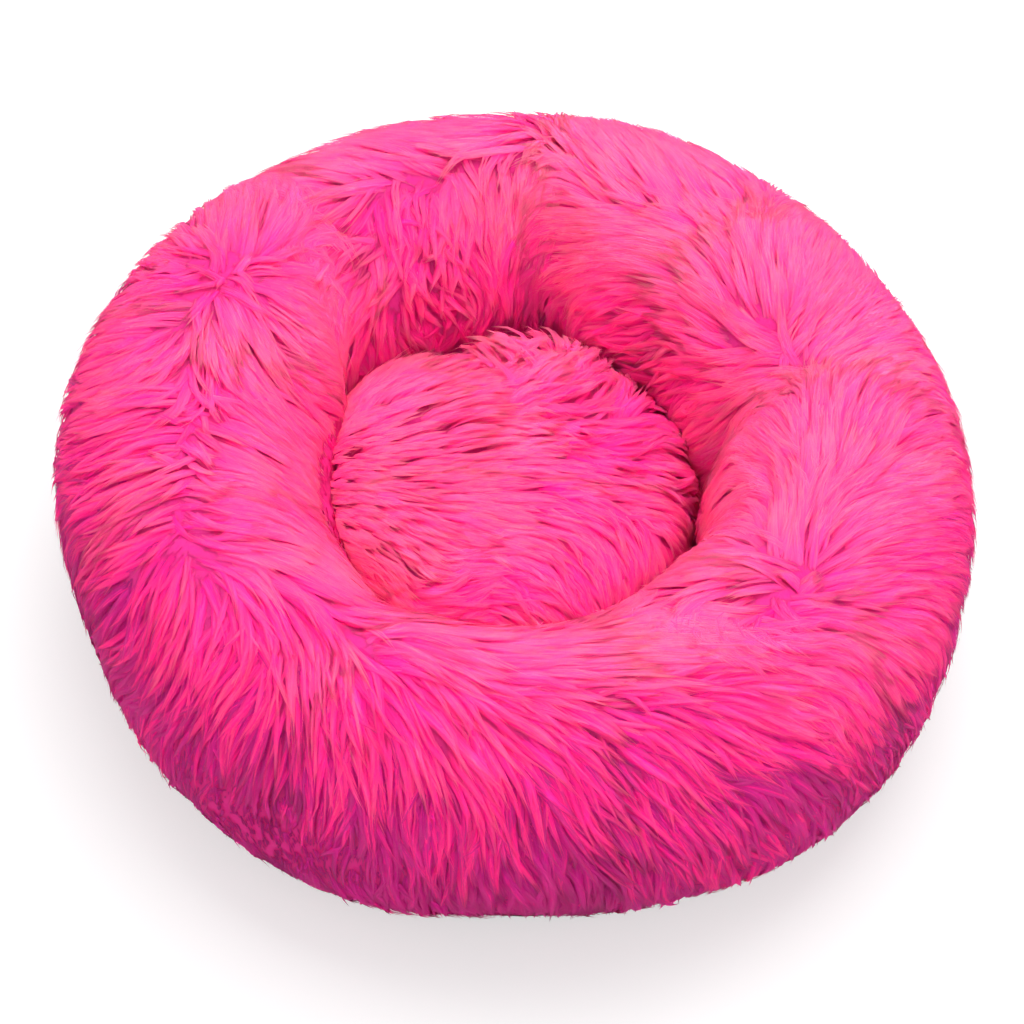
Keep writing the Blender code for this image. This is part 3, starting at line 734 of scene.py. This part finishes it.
cushionPileLook = dict(
    pileLook,
    tufts=5000,
    locks=8800,
    width=0.0006,
    strands=6,
    length=0.028,
    tuftRadius=0.0024,
    tuftGather=0.7,
    lockRadius=0.0019,
    clump=0.008,
    gather=(0.7, 0.1),
    groove=0.0010,
    swell=0.0005,
    tipInset=(-0.002, 0.0005),
    stray=10,
    curl=24,
    wave=14,
    waveScale=0.022,
    backingInset=(0.0032, 0.0024),
    sectors=2,
)


# The pile's colours. The darker, more saturated roots are painted shade deep in the pile; light and deep are the ends
# of the strips' lightness, which carries painted light and shade besides random tone; edge is painted shade along
# each strand's edges; shade darkens and blues the strips of the shaded side, as painted shade
pileTones = {
    "rootToTip": (
        (0.0, (1.0, 0.012, 0.31)),
        (0.28, (1.0, 0.028, 0.31)),
        (0.60, (1.0, 0.104, 0.32)),
        (1.0, (1.0, 0.205, 0.33)),
    ),
    "light": (1.0, 0.24, 0.34),
    "deep": (1.0, 0.016, 0.29),
    "edge": (1.0, 0.022, 0.30),
    "shade": (0.62, 1.0, 0.9),
    "scatter": (1.0, 0.25, 0.85),  # how far each colour goes inside the pile, as shares
    "pileReach": 0.0065,
    "backingReach": 0.005,
}
mapEdge = 0.02  # the free edge of the strands' map


def pileFinish(name):
    finish = Finish(name, roughness=0.65, sheen=0.03, sheenTint=(1.0, 0.2, 0.5), specular=0.08)
    finish.glow(pileTones["scatter"], pileTones["pileReach"])
    run = finish.add("ShaderNodeUVMap", {"uv_map": "strandRun"}, {})
    across = finish.add("ShaderNodeSeparateXYZ", {}, {0: run})
    along = across.beside("Y")
    strip = (across - mapEdge) * (pileLook["strips"] / (1 - 2 * mapEdge))
    tint = finish.maths("FLOOR", strip) / pileLook["strips"]
    middle = finish.maths("FRACT", strip) - 0.5
    # painted shade: darker and more saturated towards the roots
    rootToTip = finish.ramp(along, *pileTones["rootToTip"])
    # light and deep are the ends of the strips' lightness, which carries painted light and shade besides random tone
    light = finish.blend(0.35, rootToTip, colour(*pileTones["light"]))
    deep = finish.blend(0.77, rootToTip, colour(*pileTones["deep"]))
    lightness = (tint - pileLook["shadeStrips"]) * (1 / (1 - pileLook["shadeStrips"]))
    base = finish.blend(lightness, deep, light)
    shade = finish.ramp(tint, (0.0, pileTones["shade"]), (pileLook["shadeStrips"], (1.0, 1.0, 1.0)))
    base = finish.blend(1.0, base, shade, "MULTIPLY")
    hair = finish.maths("SINE", middle * 17.0 + tint * 60.0)
    # painted shade: each strand darker along its edges, with fine hair streaks across it
    shaded = finish.blend(middle * middle * 1.2 + hair * 0.12 + 0.12, base, colour(*pileTones["edge"]))
    finish.paint(Base_Color=shaded)
    return finish.material


def paintedLightShadeAndToneStrips(points, lock, look, seed, light, edge, shaded=False):  # strips of the pile's colour: random deeper and lighter patches, locks and strands, plus the painted light and shade carried in light, and a lock's outer strands darker as painted shade
    patch = light[lock] + 0.18 * waves(points[lock], 0.05, seed) + rng.normal(0, 0.12, len(points))[lock]
    # painted shade: darker towards each lock's outer strands
    patch += 0.08 - 0.34 * edge
    first = look["strips"] * look["shadeStrips"]  # the strips before it are for the shaded side only
    strip = np.round(first + (patch + rng.normal(0, 0.1, len(lock))) * (look["strips"] - 1 - first))
    return np.clip(strip, np.where(shaded, 0, first), look["strips"] - 1)


def degreesAt(bearing, section):
    return np.degrees(bearing) % 360, np.degrees(section)


def ringCalm(bearing, section):  # 1 where the pile lies smooth, 0 where it is in rough locks
    heading, turn = degreesAt(bearing, section)
    front = smoothStep((0.3 - np.sin(bearing)) / 0.5) * (23 + 18 * bell(heading, 240, 30))
    crest = smoothStep((turn - 45 - front) / 26) * smoothStep((165 - turn) / 30)
    rightSide = smoothStep((np.cos(bearing - np.radians(15)) - 0.1) / 0.5) * smoothStep((turn - 15) / 30)
    calm = np.maximum(crest, 0.75 * rightSide)
    backWall = bell(heading, 108, 22) * smoothStep((turn - 85) / 20)
    leftParting = bell(heading, 180, 25) * bell(turn, 95, 25)
    rightWall = bell(heading, 44, 30) * smoothStep((turn - 116) / 24)
    return calm * (1 - 0.9 * backWall) * (1 - 0.6 * leftParting) * (1 - 0.85 * rightWall)


def ringRough(bearing, section):  # the short curly clumps of the back wall
    heading, turn = degreesAt(bearing, section)
    back = 1.2 * bell(heading, 108, 24) * smoothStep((turn - 92) / 25)
    return back + 0.7 * bell(heading, 46, 26) * smoothStep((turn - 122) / 22)


def ringProud(bearing, section):  # how far the pile stands out from the bed's plain form
    heading, turn = degreesAt(bearing, section)
    well = smoothStep((turn - 140) / 40) * smoothStep((225 - turn) / 20)
    leftSide = bell(heading, 190, 45)
    low = smoothStep((25 - turn) / 45)
    corners = 0.009 * bell(heading, 236, 18) + 0.006 * bell(heading, 314, 18)
    corners += 0.003 * bell(heading, 250, 8) - 0.003 * bell(heading, 295, 9)
    low = low * (corners - 0.006 * bell(heading, 270, 15))
    side = np.maximum(np.cos(bearing), 0) ** 3 + 1.8 * bell(heading, 200, 16)
    side *= smoothStep((60 - turn) / 30) * smoothStep((turn + 40) / 30)
    lean = bell(heading, 60, 20) - bell(heading, 125, 18)
    upper = smoothStep((turn - 20) / 40) * smoothStep((120 - turn) / 30)
    top = (0.003 * lean - 0.0015 * bell(heading, 88, 35)) * upper
    return (0.003 + 0.009 * leftSide) * well + low - 0.002 * side + top


def padCalm(bearing, section):
    across, deep = np.cos(bearing) * np.cos(section), np.sin(bearing) * np.cos(section)
    return 0.25 + 0.65 * smoothStep((0.35 - across + 0.8 * deep) / 0.8)


def padProud(bearing, section):  # the fringe along the cushion's back edge
    heading, turn = degreesAt(bearing, section)
    fringe = smoothStep((turn - 12) / 15) * smoothStep((58 - turn) / 15)
    backLeft = bell(heading, 145, 24) * smoothStep((70 - turn) / 30)
    backRight = bell(heading, 35, 18) * smoothStep((70 - turn) / 30)
    left = bell(heading, 188, 26) * smoothStep((60 - turn) / 30)
    back = 0.011 * fringe * bell(heading, 78, 26)
    return back + 0.016 * backLeft + 0.006 * backRight + 0.006 * left


def padRough(bearing, section):  # the tufts of that fringe
    heading, turn = degreesAt(bearing, section)
    fringe = smoothStep((turn - 12) / 15) * smoothStep((75 - turn) / 15) * bell(heading, 70, 35)
    rightEdge = smoothStep((65 - turn) / 30) * bell(heading, 10, 40)
    return np.maximum(fringe, 0.8 * rightEdge)


ringForm = {
    "surface": ringPoint,
    "place": ringPlace,
    "comb": ringComb,
    "calm": ringCalm,
    "rough": ringRough,
    "proud": ringProud,
    "angles": ring["footAngles"],
    "depth": ring["halfWidth"],  # about the distance from the core to the surface
}
padForm = {
    "surface": padPoint,
    "place": padPlace,
    "comb": padComb,
    "calm": padCalm,
    "rough": padRough,
    "proud": padProud,
    "angles": (-25, 90),
    "depth": pad["girthRadius"],
}


def stampSectors(name, middle, side, facing, width, strip, lock, bearing, look, body, slot):
    finish = pileFinish(name)
    place = np.degrees(bearing) + rng.normal(0, 1.2, len(bearing))  # locks of neighbouring pieces mix at their border
    sector = (place[lock] % 360 / (360 / look["sectors"])).astype(int)
    for number in range(look["sectors"]):
        kept = sector == number
        parts = (values[kept] for values in (middle, side, facing, width, strip))
        stampStrands(f"{name}{number + 1}", *parts, look, body, slot, finish)


def makeRingPile():
    tufts = combTufts(ringForm, pileLook)
    path, normals, calm, tuft, rim, sunk = combLocks(ringForm, pileLook, tufts)
    middle, side, facing, width, lock, edge = growPile(path, normals, pileLook, calm)
    bearing, section = ringPlace(path[:, 0])
    heading, turn = degreesAt(bearing, section)
    # painted light and shade by place: darker down the outer side, lighter at the back outside and over the top, dark
    # down the crease of the second fold, darker down in the well and on the back wall, lighter low on the left side
    light = 0.38 + 0.34 * calm - 0.75 * smoothStep((84 - turn) / 60)
    light += 0.25 * bell(heading, 75, 30) * smoothStep((130 - turn) / 30)
    light -= 0.8 * bell(heading, 84, 8) * smoothStep((turn - 100) / 25)
    light -= 0.25 * smoothStep((turn - 145) / 30)
    light += 0.15 * bell(heading, 195, 25) * smoothStep((75 - turn) / 30)
    light -= 0.35 * smoothStep((turn - 110) / 40) * bell(heading, 90, 50)
    # random tone per tuft; painted shade at tufts' rims and on sunken tufts, with the rough pile lifted to make up
    # for it
    light += rng.normal(0, 0.08, len(tufts))[tuft] + 0.30 * (1 - calm) - 0.3 * rim - 0.45 * sunk
    # on the lower outer side the strips may fall among the shade strips, painted shade darker and bluer
    strip = paintedLightShadeAndToneStrips(path[:, 0], lock, pileLook, 3, light, edge, (turn < 75)[lock])
    stampSectors("bolsterPile", middle, side, facing, width, strip, lock, bearing, pileLook, "bed", "bolster_pile")
    print("stage: ring pile,", len(middle), "strands")


def makeCushionPile():
    look = cushionPileLook
    tufts = combTufts(padForm, look)
    path, normals, calm, tuft, rim, sunk = combLocks(padForm, look, tufts)
    middle, side, facing, width, lock, edge = growPile(path, normals, look, calm)
    # random tone per tuft; painted shade at tufts' rims and on sunken tufts
    light = 0.50 + 0.30 * calm + rng.normal(0, 0.08, len(tufts))[tuft]
    light += 0.28 * (1 - calm) - 0.3 * rim - 0.45 * sunk
    strip = paintedLightShadeAndToneStrips(path[:, 0], lock, look, 5, light, edge)
    bearing = padPlace(path[:, 0])[0]
    stampSectors("cushionPile", middle, side, facing, width, strip, lock, bearing, look, "cushion", "cushion_pile")
    print("stage: cushion pile,", len(middle), "strands")


makeRingPile()
makeCushionPile()


# The closed layers under the pile: the pile's backing, the lining and the stuffing

layerLook = {
    "around": 240,
    "sections": 128,
    "baseTop": 0.0085,
    "liningInset": 0.0130,
    "fillInset": 0.0152,
    "fillFloor": 0.0100,
    "padFloor": 0.0209,
    "padFillInset": 0.0130,
}


def spinRound(shape, profile, steps):
    centre, up = (0, 0, 0), (0, 0, 1)
    bmesh.ops.spin(shape, geom=profile, axis=up, cent=centre, angle=math.tau, steps=steps, use_merge=True)


# A closed layer of a soft form, at a depth under its surface
def makeShell(name, form, inset, floor, body, slot, material, node):
    shape = bmesh.new()
    whole = form is ringForm
    share = (1 if whole else 0.4) * (1 if isinstance(inset, dict) else 0.7)  # the backing is the finest
    count = int(layerLook["sections"] * share)
    low, high = (0, math.tau * (1 - 1 / count)) if whole else (-math.pi / 2, math.pi / 2)
    middle = 1 if whole else 0
    size = 0.3 if whole else 1
    line = [
        shape.verts.new((middle + size * math.cos(angle), 0, size * math.sin(angle)))
        for angle in np.linspace(low, high, count)
    ]
    pairs = list(zip(line, line[1:])) + ([(line[-1], line[0])] if whole else [])
    edges = [shape.edges.new(pair) for pair in pairs]
    spinRound(shape, line + edges, int(layerLook["around"] * share))
    bmesh.ops.remove_doubles(shape, verts=shape.verts, dist=1e-5)
    shape.verts.ensure_lookup_table()
    rough = np.array([vertex.co for vertex in shape.verts])
    bearing = np.arctan2(rough[:, 1], rough[:, 0])
    section = np.arctan2(rough[:, 2], np.hypot(rough[:, 0], rough[:, 1]) - middle)
    section = wrapped(section) if whole else section
    if isinstance(inset, dict):  # the backing of a pile
        inset = backingDepth(form, inset, bearing, section, combAgreement(form, inset, bearing, section))
    for vertex, place in zip(shape.verts, form["surface"](bearing, section, inset, floor)):
        vertex.co = place
    bmesh.ops.recalc_face_normals(shape, faces=shape.faces)
    return addPiece(name, shape, body, material, node)


def makeLayers():
    backing = Finish("pileBacking", roughness=0.85, specular=0.1)
    backing.glow(pileTones["scatter"], pileTones["backingReach"])
    place = backing.places()
    fuzz = backing.noise(place, 420.0, 3.0)
    patches = backing.noise(place, 60.0, 2.0)
    tone = backing.blend(fuzz, colour(0.97, 0.012, 0.30), colour(1.0, 0.04, 0.32))
    tone = backing.blend(patches * 0.4, tone, colour(1.0, 0.07, 0.33))
    bump = backing.bump(0.5, 0.001, fuzz)
    backing.paint(Base_Color=tone, Normal=bump)

    lining = Finish("liningCloth", roughness=0.8)
    place = lining.places()
    fibres = lining.noise(place, 900.0, 4.0)
    dents = lining.add("ShaderNodeTexVoronoi", {}, {"Vector": place, "Scale": 450.0})
    tone = lining.blend(fibres, colour(0.70, 0.70, 0.68), colour(0.86, 0.86, 0.84))
    bump = lining.bump(0.4, 0.0005, dents + fibres)
    lining.paint(Base_Color=tone, Normal=bump)

    stuffing = Finish("hollowFibre", roughness=0.95)
    place = stuffing.places()
    clumps = stuffing.noise(place, 90.0, 8.0, Distortion=1.5)
    tone = stuffing.blend(clumps, colour(0.78, 0.78, 0.76), colour(0.94, 0.94, 0.92))
    bump = stuffing.bump(0.8, 0.003, clumps)
    stuffing.paint(Base_Color=tone, Normal=bump)

    layers = (  # name, form, inset, floor, body, slot, material, the CAD node it stands for, share that is filled
        (
            ("bolsterBacking", ringForm, pileLook, layerLook["baseTop"]),
            ("bed", "bolster_pile", backing.material, "bolster_plush"), 0.85,
        ),
        (
            ("bolsterLining", ringForm, layerLook["liningInset"], layerLook["baseTop"]),
            ("bed", "liner_cloth", lining.material, "bolster_liner"), 0.85,
        ),
        (
            ("bolsterStuffing", ringForm, layerLook["fillInset"], layerLook["fillFloor"]),
            ("bed", "fibre_fill", stuffing.material, "bolster_fill"), 0.85,
        ),
        (
            ("cushionBacking", padForm, cushionPileLook, layerLook["padFloor"]),
            ("cushion", "cushion_pile", backing.material, "cushion_plush"), 0.9,
        ),
        (
            ("cushionStuffing", padForm, layerLook["padFillInset"], layerLook["padFloor"]),
            ("cushion", "fibre_fill", stuffing.material, "cushion_fill"), 0.9,
        ),
    )
    for shell, use, fill in layers:
        makeShell(*shell, *use)
    return stuffing


stuffing = makeLayers()
print("stage: layers under the pile")


# The flat sewn pieces: weave, stitches and grip dots


def weaveFinish(name, dark, light, pitch, roughness):  # a plain weave on Object coordinates
    finish = Finish(name, roughness=roughness, sheen=0.15, specular=0.25)
    place = finish.places()
    part = finish.add("ShaderNodeSeparateXYZ", {}, {0: place})
    wobble = finish.noise(place, 35.0, 2.0)
    turns = math.pi / pitch
    along = (part + wobble * 0.0015) * turns
    across = (part.beside("Y") + wobble * 0.0015) * turns
    warp = finish.maths("SINE", along)
    weft = finish.maths("SINE", across)
    over = warp * weft
    threads = over * over
    patches = finish.noise(place, 22.0, 4.0)
    fluff = finish.noise(place, 700.0, 2.0)
    tone = finish.blend(threads * 0.7 + fluff * 0.3, dark, light)
    tone = finish.blend(patches * 0.5, tone, dark)
    height = over * 0.5 + fluff * 0.4
    bump = finish.bump(0.6, pitch / 4, height)
    rough = finish.maths("MULTIPLY_ADD", patches, 0.2, roughness - 0.1)
    return finish.paint(Base_Color=tone, Normal=bump, Roughness=rough)


baseLook = {
    "footHalfWidth": 0.03348,
    "bindingWidth": 0.0033,
    "thickness": 0.008,
    "lift": 0.0006,  # the cloth hangs this far above the tips of its grip dots
    "pillow": 0.0022,  # how far a panel's edges round up
    "seam": 0.00015,
    "reach": 0.216,  # from the middle to the panels' farthest edge
    "slotHalfWidth": 0.007,
    "slotEnd": 0.1325,
    "columns": 100,
    "rows": 50,
    "dotPitch": 0.0115,
    "dotRadius": (0.0017, 0.0010),
    "dotMargin": 0.010,
    "stitchPitch": 0.0034,
    "stitchSize": (0.0011, 0.00022),
}


def baseEdge(bearing, inset):  # the base's outline, out to its binding
    return ring["coreRadius"] + baseLook["footHalfWidth"] * (1 - ring["ovalShare"] * np.sin(2 * bearing)) - inset


def edgeGap(x, y):  # how far a point of a base panel is from that panel's nearest edge
    rim = baseEdge(np.arctan2(y, x), baseLook["bindingWidth"]) - np.hypot(x, y)
    beside = np.maximum(np.abs(x) - baseLook["slotEnd"], 0)
    slot = np.hypot(beside, np.maximum(np.abs(y) - baseLook["slotHalfWidth"], 0))
    seam = np.abs(y) - baseLook["seam"]
    return np.minimum(np.minimum(rim, slot), np.where(np.abs(x) > baseLook["slotEnd"], seam, slot))


def extrudeUp(shape, height):  # a flat sheet becomes a closed plate, with its top at this height
    grown = bmesh.ops.extrude_face_region(shape, geom=list(shape.faces))["geom"]
    top = {item for item in grown if isinstance(item, bmesh.types.BMVert)}
    for vertex in top:
        vertex.co.z = height
    return top


def makeBasePanel(name, side, node, finish):
    look = baseLook
    reach = look["reach"]
    shape = bmesh.new()
    bmesh.ops.create_grid(shape, x_segments=look["columns"], y_segments=look["rows"], size=1)
    cell = reach * 2 / look["columns"]
    slotColumn = round(look["slotEnd"] / cell)
    for vertex in shape.verts:
        column = abs(vertex.co.x) * look["columns"] / 2
        across = column / slotColumn * look["slotEnd"] if column <= slotColumn else (
            look["slotEnd"] + (column - slotColumn) / (look["columns"] / 2 - slotColumn) * (reach - look["slotEnd"])
        )
        row = (vertex.co.y + 1) / 2 * look["rows"]
        deep = look["seam"] + (look["slotHalfWidth"] - look["seam"]) * row / 2 if row <= 2 else (
            look["slotHalfWidth"] + (row - 2) / (look["rows"] - 2) * (reach - look["slotHalfWidth"])
        )
        vertex.co = (math.copysign(across, vertex.co.x), side * deep, 0)
    rim = look["bindingWidth"]
    outside = []
    for face in shape.faces:
        x, y, _ = face.calc_center_median()
        slot = abs(x) < look["slotEnd"] and abs(y) < look["slotHalfWidth"]
        if slot or math.hypot(x, y) > baseEdge(math.atan2(y, x), rim):
            outside.append(face)
    bmesh.ops.delete(shape, geom=outside, context="FACES")
    for vertex in shape.verts:
        x, y, _ = vertex.co
        limit = float(baseEdge(math.atan2(y, x), rim))
        if vertex.is_boundary and abs(math.hypot(x, y) - limit) < cell * 1.5 and abs(y) > look["seam"] * 1.5:
            vertex.co.x *= limit / math.hypot(x, y)
            vertex.co.y *= limit / math.hypot(x, y)
    upper = extrudeUp(shape, look["thickness"])
    for vertex in shape.verts:
        gap = float(edgeGap(vertex.co.x, vertex.co.y))
        fall = look["pillow"] * math.exp(-max(gap, 0) / 0.004)
        dimple = 0.0004 * math.exp(-(((gap - 0.007) / 0.0012) ** 2))
        if vertex in upper:
            vertex.co.z -= 0.3 * fall
        else:
            vertex.co.z += look["lift"] + fall + dimple
    bmesh.ops.recalc_face_normals(shape, faces=shape.faces)
    addPiece(name, shape, "bed", finish, node)


def stamped(pattern, places):  # one shape of many copies of a small one
    copies = bpy.data.meshes.new("copies")
    shape = bmesh.new()
    for place in places:
        pattern.to_mesh(copies)
        copies.transform(place)
        shape.from_mesh(copies)
    bpy.data.meshes.remove(copies)
    pattern.free()
    return shape


def makeGripDots(finish):
    look = baseLook
    dot = bmesh.new()
    big, small = look["dotRadius"]
    bmesh.ops.create_cone(dot, cap_ends=True, segments=10, radius1=small, radius2=big, depth=0.001)
    places = []
    lines = math.ceil(look["reach"] / look["dotPitch"])
    for row in range(-lines, lines + 1):
        for column in range(-lines, lines + 1):
            x = (column + (row % 2) / 2) * look["dotPitch"]
            y = row * look["dotPitch"] * 0.866
            if math.hypot(x, y) > look["reach"] or edgeGap(x, y) < look["dotMargin"] or abs(y) < look["dotMargin"]:
                continue
            places.append(Matrix.Translation((x, y, 0.0005)))
    addPiece("baseGripDots", stamped(dot, places), "bed", finish)


def makeStitches(name, path, body, finish):  # small rounded stitches along points with directions
    long, thickness = baseLook["stitchSize"]
    stitch = bmesh.new()
    lying = Matrix.Diagonal((long, thickness, thickness, 1)) @ Matrix.Rotation(math.pi / 2, 4, "Y")
    bmesh.ops.create_uvsphere(stitch, u_segments=6, v_segments=4, radius=1, matrix=lying)
    places = [Matrix.Translation((x, y, z)) @ Matrix.Rotation(angle, 4, "Z") for x, y, z, angle in path]
    addPiece(name, stamped(stitch, places), body, finish)


def makeBinding(finish):
    look = baseLook
    low, high = 0.0006, look["thickness"] + 0.0002
    shape = bmesh.new()
    line = []
    for turn in np.linspace(0, math.tau, 17)[:-1]:
        across = 0.5 * look["bindingWidth"] * (1 - abs(math.cos(turn)) ** 0.6 * math.copysign(1, math.cos(turn)))
        up = (low + high) / 2 + (high - low) / 2 * abs(math.sin(turn)) ** 0.6 * math.copysign(1, math.sin(turn))
        line.append(shape.verts.new((1 - across, 0, up)))
    edges = [shape.edges.new(pair) for pair in zip(line, line[1:] + line[:1])]
    spinRound(shape, line + edges, 240)
    for vertex in shape.verts:
        bearing = math.atan2(vertex.co.y, vertex.co.x)
        across = 1 - math.hypot(vertex.co.x, vertex.co.y)
        radius = float(baseEdge(bearing, across)) + 0.00015 * math.sin(bearing * 170)
        vertex.co.x, vertex.co.y = radius * math.cos(bearing), radius * math.sin(bearing)
    bmesh.ops.recalc_face_normals(shape, faces=shape.faces)
    addPiece("baseBinding", shape, "bed", finish, "base_binding")


def baseStitches():  # along the rim of both panels, and beside the zip's slot
    look = baseLook
    path = []
    steps = int(math.tau * 0.2 / look["stitchPitch"])
    for step in range(steps):
        bearing = math.tau * (step + 0.5) / steps
        radius = float(baseEdge(bearing, look["bindingWidth"] + 0.007))
        x, y = radius * math.cos(bearing), radius * math.sin(bearing)
        if abs(y) > 0.012:
            path.append((x, y, look["lift"] + 0.0007, bearing + math.pi / 2))
    for side in (-1, 1):
        for x in np.arange(-look["slotEnd"] - 0.05, look["slotEnd"] + 0.05, look["stitchPitch"]):
            path.append((x, side * (look["slotHalfWidth"] + 0.006), look["lift"] + 0.0007, 0))
    return path


def makeDisc(name, node, body, finish, edge):  # a round piece of cloth, with its edge rounded
    low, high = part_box(node)
    radius = high[0]
    middle = (low[2] + high[2]) / 2
    half = (high[2] - low[2]) / 2
    shape = bmesh.new()
    points = [(0, half), *[(radius * share, half) for share in np.linspace(0.12, 0.97, 14)]]
    turns = np.linspace(0.4, math.pi - 0.4, 5)
    rim = [(radius - edge + edge * math.sin(turn), half * math.cos(turn)) for turn in turns]
    points = points + rim + [(across, -up) for across, up in points[::-1]]
    line = [shape.verts.new((across, 0, middle + up)) for across, up in points]
    edges = [shape.edges.new(pair) for pair in zip(line, line[1:])]
    spinRound(shape, line + edges, 120)
    bmesh.ops.remove_doubles(shape, verts=shape.verts, dist=1e-6)
    bmesh.ops.recalc_face_normals(shape, faces=shape.faces)
    return addPiece(name, shape, body, finish, node), radius, low[2]


coilLook = {"pitch": 0.0015, "wireRadius": 0.00033, "inset": 0.00034, "endGap": 0.0004}


def makeZip(tapeFinish, coilFinish):
    for side, end in ((-1, "front"), (1, "back")):
        low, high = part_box("zip_tape_" + end)
        shape = bmesh.new()
        bmesh.ops.create_grid(shape, x_segments=180, y_segments=8, size=0.5)
        for vertex in shape.verts:
            x = low[0] + (vertex.co.x + 0.5) * (high[0] - low[0])
            y = low[1] + (vertex.co.y + 0.5) * (high[1] - low[1])
            inner = abs(y) - min(abs(low[1]), abs(high[1]))
            ridge = 0.00012 * math.exp(-(((inner - 0.0030) / 0.0004) ** 2))
            vertex.co = (x, y, low[2] + 0.00015 - ridge)
        extrudeUp(shape, high[2])
        bmesh.ops.recalc_face_normals(shape, faces=shape.faces)
        addPiece("zipTape" + end.capitalize(), shape, "bed", tapeFinish, "zip_tape_" + end)

        low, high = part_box("zip_coil_" + end)
        turns = int((high[0] - low[0]) / coilLook["pitch"])
        points = []
        for step in range(turns * 10 + 1):
            angle = math.tau * step / 10
            x = low[0] + coilLook["endGap"] + (high[0] - low[0] - 2 * coilLook["endGap"]) * step / (turns * 10)
            y = (low[1] + high[1]) / 2 + side * ((high[1] - low[1]) / 2 - coilLook["inset"]) * math.cos(angle)
            z = (low[2] + high[2]) / 2 + ((high[2] - low[2]) / 2 - coilLook["inset"]) * math.sin(angle)
            points.append((x, y, z))
        wire = bpy.data.curves.new("zipCoil" + end.capitalize(), "CURVE")
        wire.dimensions = "3D"
        wire.bevel_depth = coilLook["wireRadius"]
        wire.bevel_resolution = 0
        wire.use_fill_caps = True
        spline = wire.splines.new("POLY")
        spline.points.add(len(points) - 1)
        spline.points.foreach_set("co", [value for point in points for value in (*point, 1)])
        holder = bpy.data.objects.new("zipCoilRun", wire)
        bpy.context.scene.collection.objects.link(holder)
        mesh = bpy.data.meshes.new_from_object(holder.evaluated_get(bpy.context.evaluated_depsgraph_get()))
        bpy.data.objects.remove(holder)
        shape = bmesh.new()
        shape.from_mesh(mesh)
        bmesh.ops.recalc_face_normals(shape, faces=shape.faces)
        addPiece("zipCoil" + end.capitalize(), shape, "bed", coilFinish, "zip_coil_" + end)


def metalFinish():
    finish = Finish("zipMetal", roughness=0.35, metallic=1.0)
    place = finish.places()
    stretched = finish.add("ShaderNodeMapping", {}, {"Vector": place, "Scale": (200.0, 2500.0, 2500.0)})
    brushed = finish.noise(stretched, 1.0, 3.0)
    worn = finish.noise(place, 260.0, 4.0)
    tone = finish.blend(worn, colour(0.46, 0.46, 0.47), colour(0.62, 0.62, 0.63))
    rough = brushed * 0.2 + worn * 0.15 + 0.2
    bump = finish.bump(0.25, 0.0001, brushed)
    return finish.paint(Base_Color=tone, Roughness=rough, Normal=bump)


def plasticFinish(name, dark, light, roughness):
    finish = Finish(name, roughness=roughness, specular=0.4)
    place = finish.places()
    grain = finish.noise(place, 500.0, 3.0)
    tone = finish.blend(grain, dark, light)
    bump = finish.bump(0.2, 0.0002, grain)
    return finish.paint(Base_Color=tone, Roughness=grain * 0.2 + (roughness - 0.1), Normal=bump)


def makeBase():
    cloth = weaveFinish("baseCloth", colour(0.006, 0.006, 0.008), colour(0.026, 0.026, 0.030), 0.0011, 0.8)
    tape = weaveFinish("tapeCloth", colour(0.010, 0.010, 0.012), colour(0.036, 0.036, 0.040), 0.0006, 0.7)
    pinkCloth = weaveFinish("pinkCloth", colour(0.55, 0.03, 0.16), colour(0.80, 0.09, 0.28), 0.0009, 0.75)
    thread = plasticFinish("thread", colour(0.02, 0.02, 0.022), colour(0.05, 0.05, 0.055), 0.5)
    pinkThread = plasticFinish("pinkThread", colour(0.62, 0.04, 0.20), colour(0.85, 0.12, 0.34), 0.5)
    dots = plasticFinish("gripDots", colour(0.012, 0.012, 0.013), colour(0.030, 0.030, 0.032), 0.45)
    coil = plasticFinish("coilPlastic", colour(0.018, 0.018, 0.020), colour(0.045, 0.045, 0.048), 0.35)
    makeBasePanel("basePanelFront", -1, "base_panel_front", cloth)
    makeBasePanel("basePanelBack", 1, "base_panel_back", cloth)
    makeBinding(tape)
    makeGripDots(dots)
    makeStitches("baseStitching", baseStitches(), "bed", thread)
    makeZip(tape, coil)
    print("stage: base and zip")

    floorCloth, radius, _ = makeDisc("wellFloorCloth", "well_floor_cloth", "bed", pinkCloth, 0.0012)
    wadding, _, _ = makeDisc("wellFloorWadding", "well_floor_wadding", "bed", stuffing.material, 0.004)
    channel = Vector((0.1287, 0.0049, 0.0112))  # the wadding stays clear of the zip
    for vertex in wadding.data.vertices:
        if abs(vertex.co.x) < channel.x and abs(vertex.co.y) < channel.y * 1.6 and vertex.co.z < channel.z:
            vertex.co.z = channel.z
    underCloth, radius, low = makeDisc(
        "cushionUnderCloth", "cushion_under_cloth", "cushion", pinkCloth, 0.0015
    )
    steps = int(math.tau * radius / baseLook["stitchPitch"])
    path = []
    for step in range(steps):
        bearing = math.tau * step / steps
        inner = radius - 0.005
        path.append((inner * math.cos(bearing), inner * math.sin(bearing), low, bearing + math.pi / 2))
    makeStitches("cushionStitching", path, "cushion", pinkThread)
    metal = metalFinish()
    for node in ("zip_slider", "zip_pull", "zip_top_stop_front", "zip_top_stop_back", "zip_bottom_stop"):
        slots = nodes[node].material_slots
        for place in range(len(slots)):
            slots[place].material = metal
    print("stage: cloths and metal")


makeBase()
